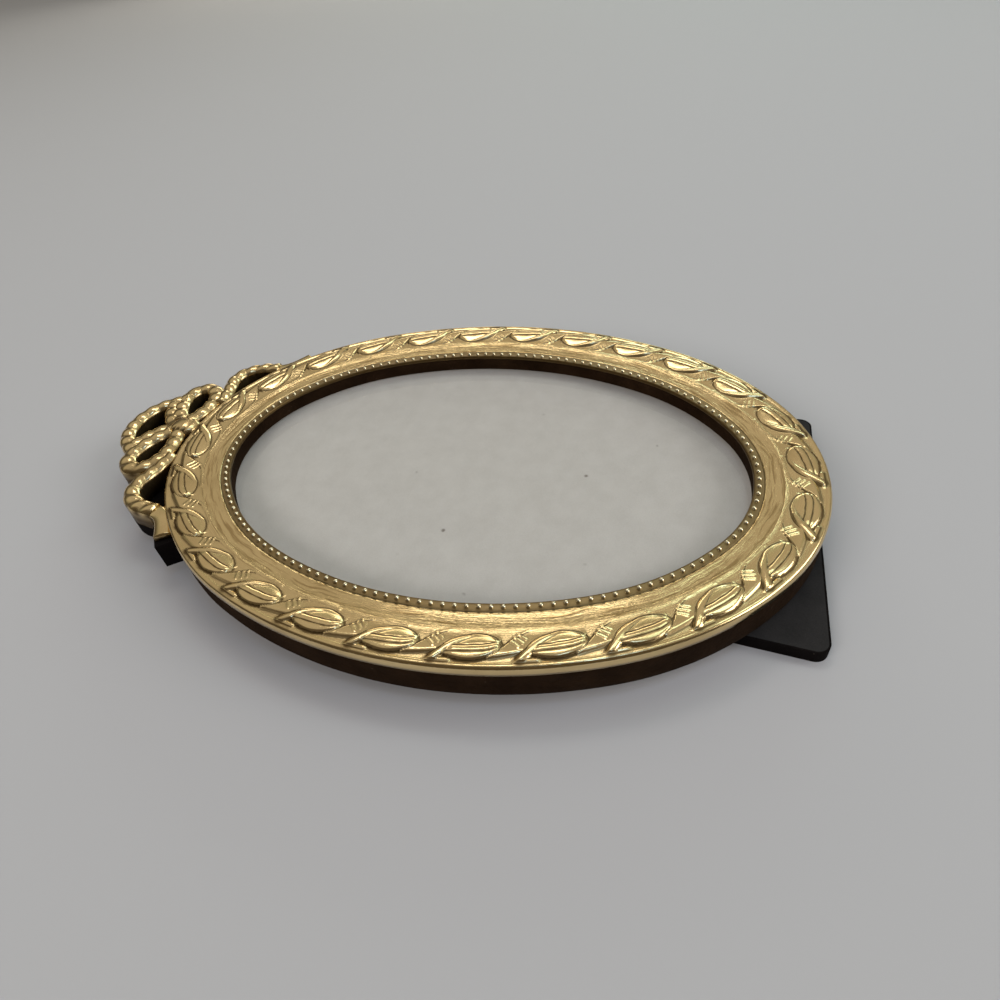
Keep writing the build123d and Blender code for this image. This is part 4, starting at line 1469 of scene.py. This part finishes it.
@dataclass
class FrameBody:
    """Velvet-covered wooden ring, the lined opening and the crest board.

    Lengths are in millimetres. The ring's line gives offsets from the lip oval and heights. Each wave
    of the velvet has a share, a count round the oval and a phase, and the weights say how much of it
    each point of the side takes.
    """

    finishes: Finishes
    edge: float = 20.1
    back: float = 4.0
    top: float = 13.6
    fold: float = 0.5
    pile: float = 0.12
    ring_columns: int = 240
    ring_width: float = 50.0
    wrap_columns: int = 720
    wrap_width: float = 40.0
    waves: Course = ((0.5, 9, 0.4), (0.3, 23, 1.1), (0.2, 41, 2.3))
    wave_start: int = 2
    wave_weights: tuple[float, ...] = (0.3, 0.7, 1.0, 0.8, 0.4)

    ring_line: Course = (
        (0.6, 13.95), (0.9, 14.3), (3.0, 14.3), (5.5, 14.25), (8.5, 14.8), (17.5, 15.3), (19.3, 14.9),
        (19.3, 4.6), (6.9, 4.6), (6.9, 9.4), (0.95, 9.4), (0.95, 13.85),
    )

    def build(self) -> None:
        """Makes the velvet wrap and the wooden ring, and dresses the liner, crest board and fixings."""
        self.build_wrap()
        self.build_ring()
        self.finishes.dress_nodes(
            brown_velvet=("opening_liner",), black_velvet=("crest_board", "crest_velvet"),
            steel=("crest_screws",), dull_brass=("bow_pins",),
        )

    def build_ring(self) -> None:
        """Makes the wooden ring, which stays under the low places of the stamped sheet."""
        line = np.array(self.ring_line)
        grid = OVAL.sweep(OVAL.even(self.ring_columns, self.edge), self.edge, line[:, 0], line[:, 1])
        piece = surface_mesh("ring_wood", grid, True, (OVAL.perimeter(self.edge), self.ring_width))
        finish_piece(piece, self.finishes.wood, ["frame_core"])

    def wrap_section(self) -> np.ndarray:
        """Section of the velvet: down the side, round the lower edge, under the ring and back inside.

        Returns:
            How far each point lies inside the edge, and its height.
        """
        turned = self.back + self.fold
        return np.array([
            (0.25, self.top), (0.02, self.top - 0.3), (0.05, 11.5), (0.08, 9.5), (0.02, 7.4), (0.1, 5.9),
            (0.4, 4.8), (1.0, 4.2), (1.8, self.back), (4.0, self.back), (8.0, self.back),
            (11.3, self.back + 0.05), (11.5, self.back + 0.3), (11.3, turned), (0.7, turned), (0.7, self.top),
        ])

    def build_wrap(self) -> None:
        """Makes the worn velvet round the side, turned over the back.

        The points of the side move inward by a sum of slow waves along the oval, as a glued cloth does.
        """
        section = self.wrap_section()
        total = OVAL.perimeter(self.edge)
        along = OVAL.even(self.wrap_columns, self.edge)
        turn = along / total * TURN
        wave = sum(share * np.sin(count * turn + phase) for share, count, phase in self.waves)
        weight = np.zeros(len(section))
        weight[self.wave_start:self.wave_start + len(self.wave_weights)] = self.wave_weights
        offsets = self.edge - section[:, 0] - self.pile * (0.5 + 0.5 * wave[:, None]) * weight
        grid = OVAL.sweep(along, self.edge, offsets, section[:, 1])
        piece = surface_mesh("velvet_wrap", grid, True, (total, self.wrap_width))
        finish_piece(piece, self.finishes.brown_velvet, ["side_velvet"])


@dataclass
class Glazing:
    """Glass, picture paper and backing card, and the back panel with its hinge leaf and turn buttons."""

    finishes: Finishes

    def build(self) -> None:
        """Dresses the stack behind the opening and the panel's fittings."""
        buttons = sorted(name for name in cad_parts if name.startswith("turn_button_"))
        self.finishes.dress_nodes(
            glass=("glass",), paper=("photo_insert",), card=("backing_card", "back_panel"),
            black_velvet=("panel_velvet",), steel=("hinge_pin",),
            dull_brass=("hinge_fixed_leaf", "hinge_rivets", "button_screws", *buttons),
        )


@dataclass
class EaselLeg:
    """Velvet-covered easel leg with its lining and hinge leaf."""

    finishes: Finishes

    def build(self) -> None:
        """Dresses the leg's CAD nodes."""
        self.finishes.dress_nodes(
            black_velvet=("leg_velvet",), card=("leg_board",), black_paper=("leg_lining",),
            dull_brass=("hinge_leg_leaf", "leg_rivets"),
        )


@dataclass(frozen=True)
class Lamp:
    """One soft panel that faces the frame.

    It holds where the panel stands, its size in metres, its power in watts and its colour, and
    whether polished brass shows it.
    """

    name: str
    place: Triple
    size: Pair
    power: float
    colour: Triple
    seen: bool = True

    def build(self) -> None:
        """Makes the lamp, level along its long side and turned to the origin."""
        data = bpy.data.lights.new(self.name, "AREA")
        data.shape = "RECTANGLE"
        data.size, data.size_y = self.size
        data.energy = self.power
        data.color = self.colour
        light = add_object(self.name, data)
        back = np.array(self.place, float)
        back /= np.linalg.norm(back)
        side = np.cross((0, 0, 1.0), back)
        side /= np.linalg.norm(side)
        stand(light, side, np.cross(back, side), self.place)
        light.visible_glossy = self.seen


@dataclass
class Studio:
    """Pale floor, soft lights and the camera at the photograph's viewing angle.

    Brass shows what it reflects, so the surround is a room in broad tones: dim and brown near the
    floor, paler above, and darkened behind the camera and low beyond the bow. The lamps are its low
    window in two panes, its skylight and its walls. The eye and the film are in millimetres, all
    else is in metres.
    """

    eye: Triple = (-150.441, -62.409, 147.818)
    right: Triple = (0.25988, -0.96051, -0.09943)
    up: Triple = (0.68458, 0.11063, 0.72049)
    film: float = 36.0
    focal_share: float = 0.669
    near_clip: float = 0.01
    floor_reach: float = 3.0
    floor_colour: Colour = (0.53, 0.525, 0.54, 1)
    room: tuple[tuple[float, Triple], ...] = (
        (0.0, (0.16, 0.13, 0.10)), (0.12, (0.17, 0.14, 0.11)), (0.24, (0.34, 0.35, 0.31)),
        (0.42, (0.37, 0.38, 0.30)), (0.6, (0.44, 0.40, 0.34)), (0.8, (0.46, 0.43, 0.38)),
        (1.0, (0.36, 0.34, 0.31)),
    )
    shadow: Colour = (0.06, 0.045, 0.03, 1)
    corner_turn: Pair = (0.3, 0.95)
    corner_stops: Course = ((0.3, 0.0), (0.55, 0.8))
    behind_stops: Course = ((0.1, 0.0), (0.35, 0.9))
    lamps: tuple[Lamp, ...] = (
        Lamp("window_warm", (1.90, 0.80, 0.50), (0.90, 0.48), 3.4, (1.0, 0.94, 0.80)),
        Lamp("window_cool", (1.98, -0.12, 0.54), (0.72, 0.56), 3.9, (0.72, 0.98, 0.95)),
        Lamp("skylight", (0.642, 0.26, 1.33), (0.62, 0.31), 2.1, (1.0, 0.97, 0.92)),
        Lamp("mint_panel", (0.65, -0.375, 1.299), (0.5, 0.36), 1.2, (0.70, 1.0, 0.94)),
        Lamp("blue_panel", (-0.147, -0.294, 1.46), (0.3, 0.3), 1.0, (0.35, 0.6, 1.0)),
        Lamp("back_wall", (-1.7, 0.9, 1.3), (1.6, 0.9), 21.0, (1.0, 0.975, 0.965), seen=False),
        Lamp("side_wall", (0.2, -1.9, 1.1), (1.5, 0.9), 16.0, (0.97, 0.98, 1.0)),
    )

    def build(self) -> None:
        """Makes the camera, the floor, the room's tones and the lights."""
        bpy.context.scene.view_settings.view_transform = "Standard"
        self.build_camera()
        self.build_floor()
        self.build_room()
        for lamp in self.lamps:
            lamp.build()

    def build_camera(self) -> None:
        """Places the camera from its eye and the picture's right and up directions."""
        camera = add_object("camera", bpy.data.cameras.new("camera"))
        stand(camera, np.array(self.right), np.array(self.up), np.array(self.eye) * MM)
        camera.data.sensor_width = self.film
        camera.data.lens = self.film * self.focal_share
        camera.data.clip_start = self.near_clip
        bpy.context.scene.camera = camera

    def build_floor(self) -> None:
        """Makes the plain pale floor."""
        reach = self.floor_reach
        mesh = bpy.data.meshes.new("floor")
        corners = [(-reach, -reach, 0), (reach, -reach, 0), (reach, reach, 0), (-reach, reach, 0)]
        mesh.from_pydata(corners, [], [(0, 1, 2, 3)])
        floor = add_object("floor", mesh)
        material = bpy.data.materials.new("pale_floor")
        material.use_nodes = True
        shader = material.node_tree.nodes["Principled BSDF"]
        Nodes(material.node_tree).feed(shader, {"Base Color": self.floor_colour, "Roughness": 0.9})
        dress(floor, material)

    def build_room(self) -> None:
        """Makes the surround: a colour for each height of the view direction.

        It is darkened low down beyond the bow, and behind the camera.
        """
        world = bpy.data.worlds.new("surround")
        world.use_nodes = True
        nodes = Nodes(world.node_tree)
        direction = nodes.add("ShaderNodeTexCoord").outputs["Generated"]
        x, y, z = nodes.add("ShaderNodeSeparateXYZ", {0: direction}).outputs
        tones = nodes.ramp(nodes.maths("MAXIMUM", z, 0.0), self.room)
        turn_x, turn_y = self.corner_turn
        corner = nodes.maths("MULTIPLY_ADD", y, turn_y, nodes.maths("MULTIPLY", x, turn_x))
        corner = nodes.ramp(nodes.maths("SUBTRACT", corner, z), self.corner_stops)
        behind = nodes.ramp(nodes.maths("MULTIPLY", x, -1.0), self.behind_stops)
        toned = nodes.mix(nodes.maths("MAXIMUM", corner, behind), tones, self.shadow)
        nodes.feed(world.node_tree.nodes["Background"], {"Color": toned})
        bpy.context.scene.world = world


def main() -> None:
    """Builds the studio, then the frame from its face to its leg."""
    logging.basicConfig(level=logging.INFO)
    finishes = Finishes.make()
    Studio().build()
    BrassFace(finishes).build()
    RibbonBow(finishes).build()
    FrameBody(finishes).build()
    Glazing(finishes).build()
    EaselLeg(finishes).build()


if __name__ == "__main__":
    main()
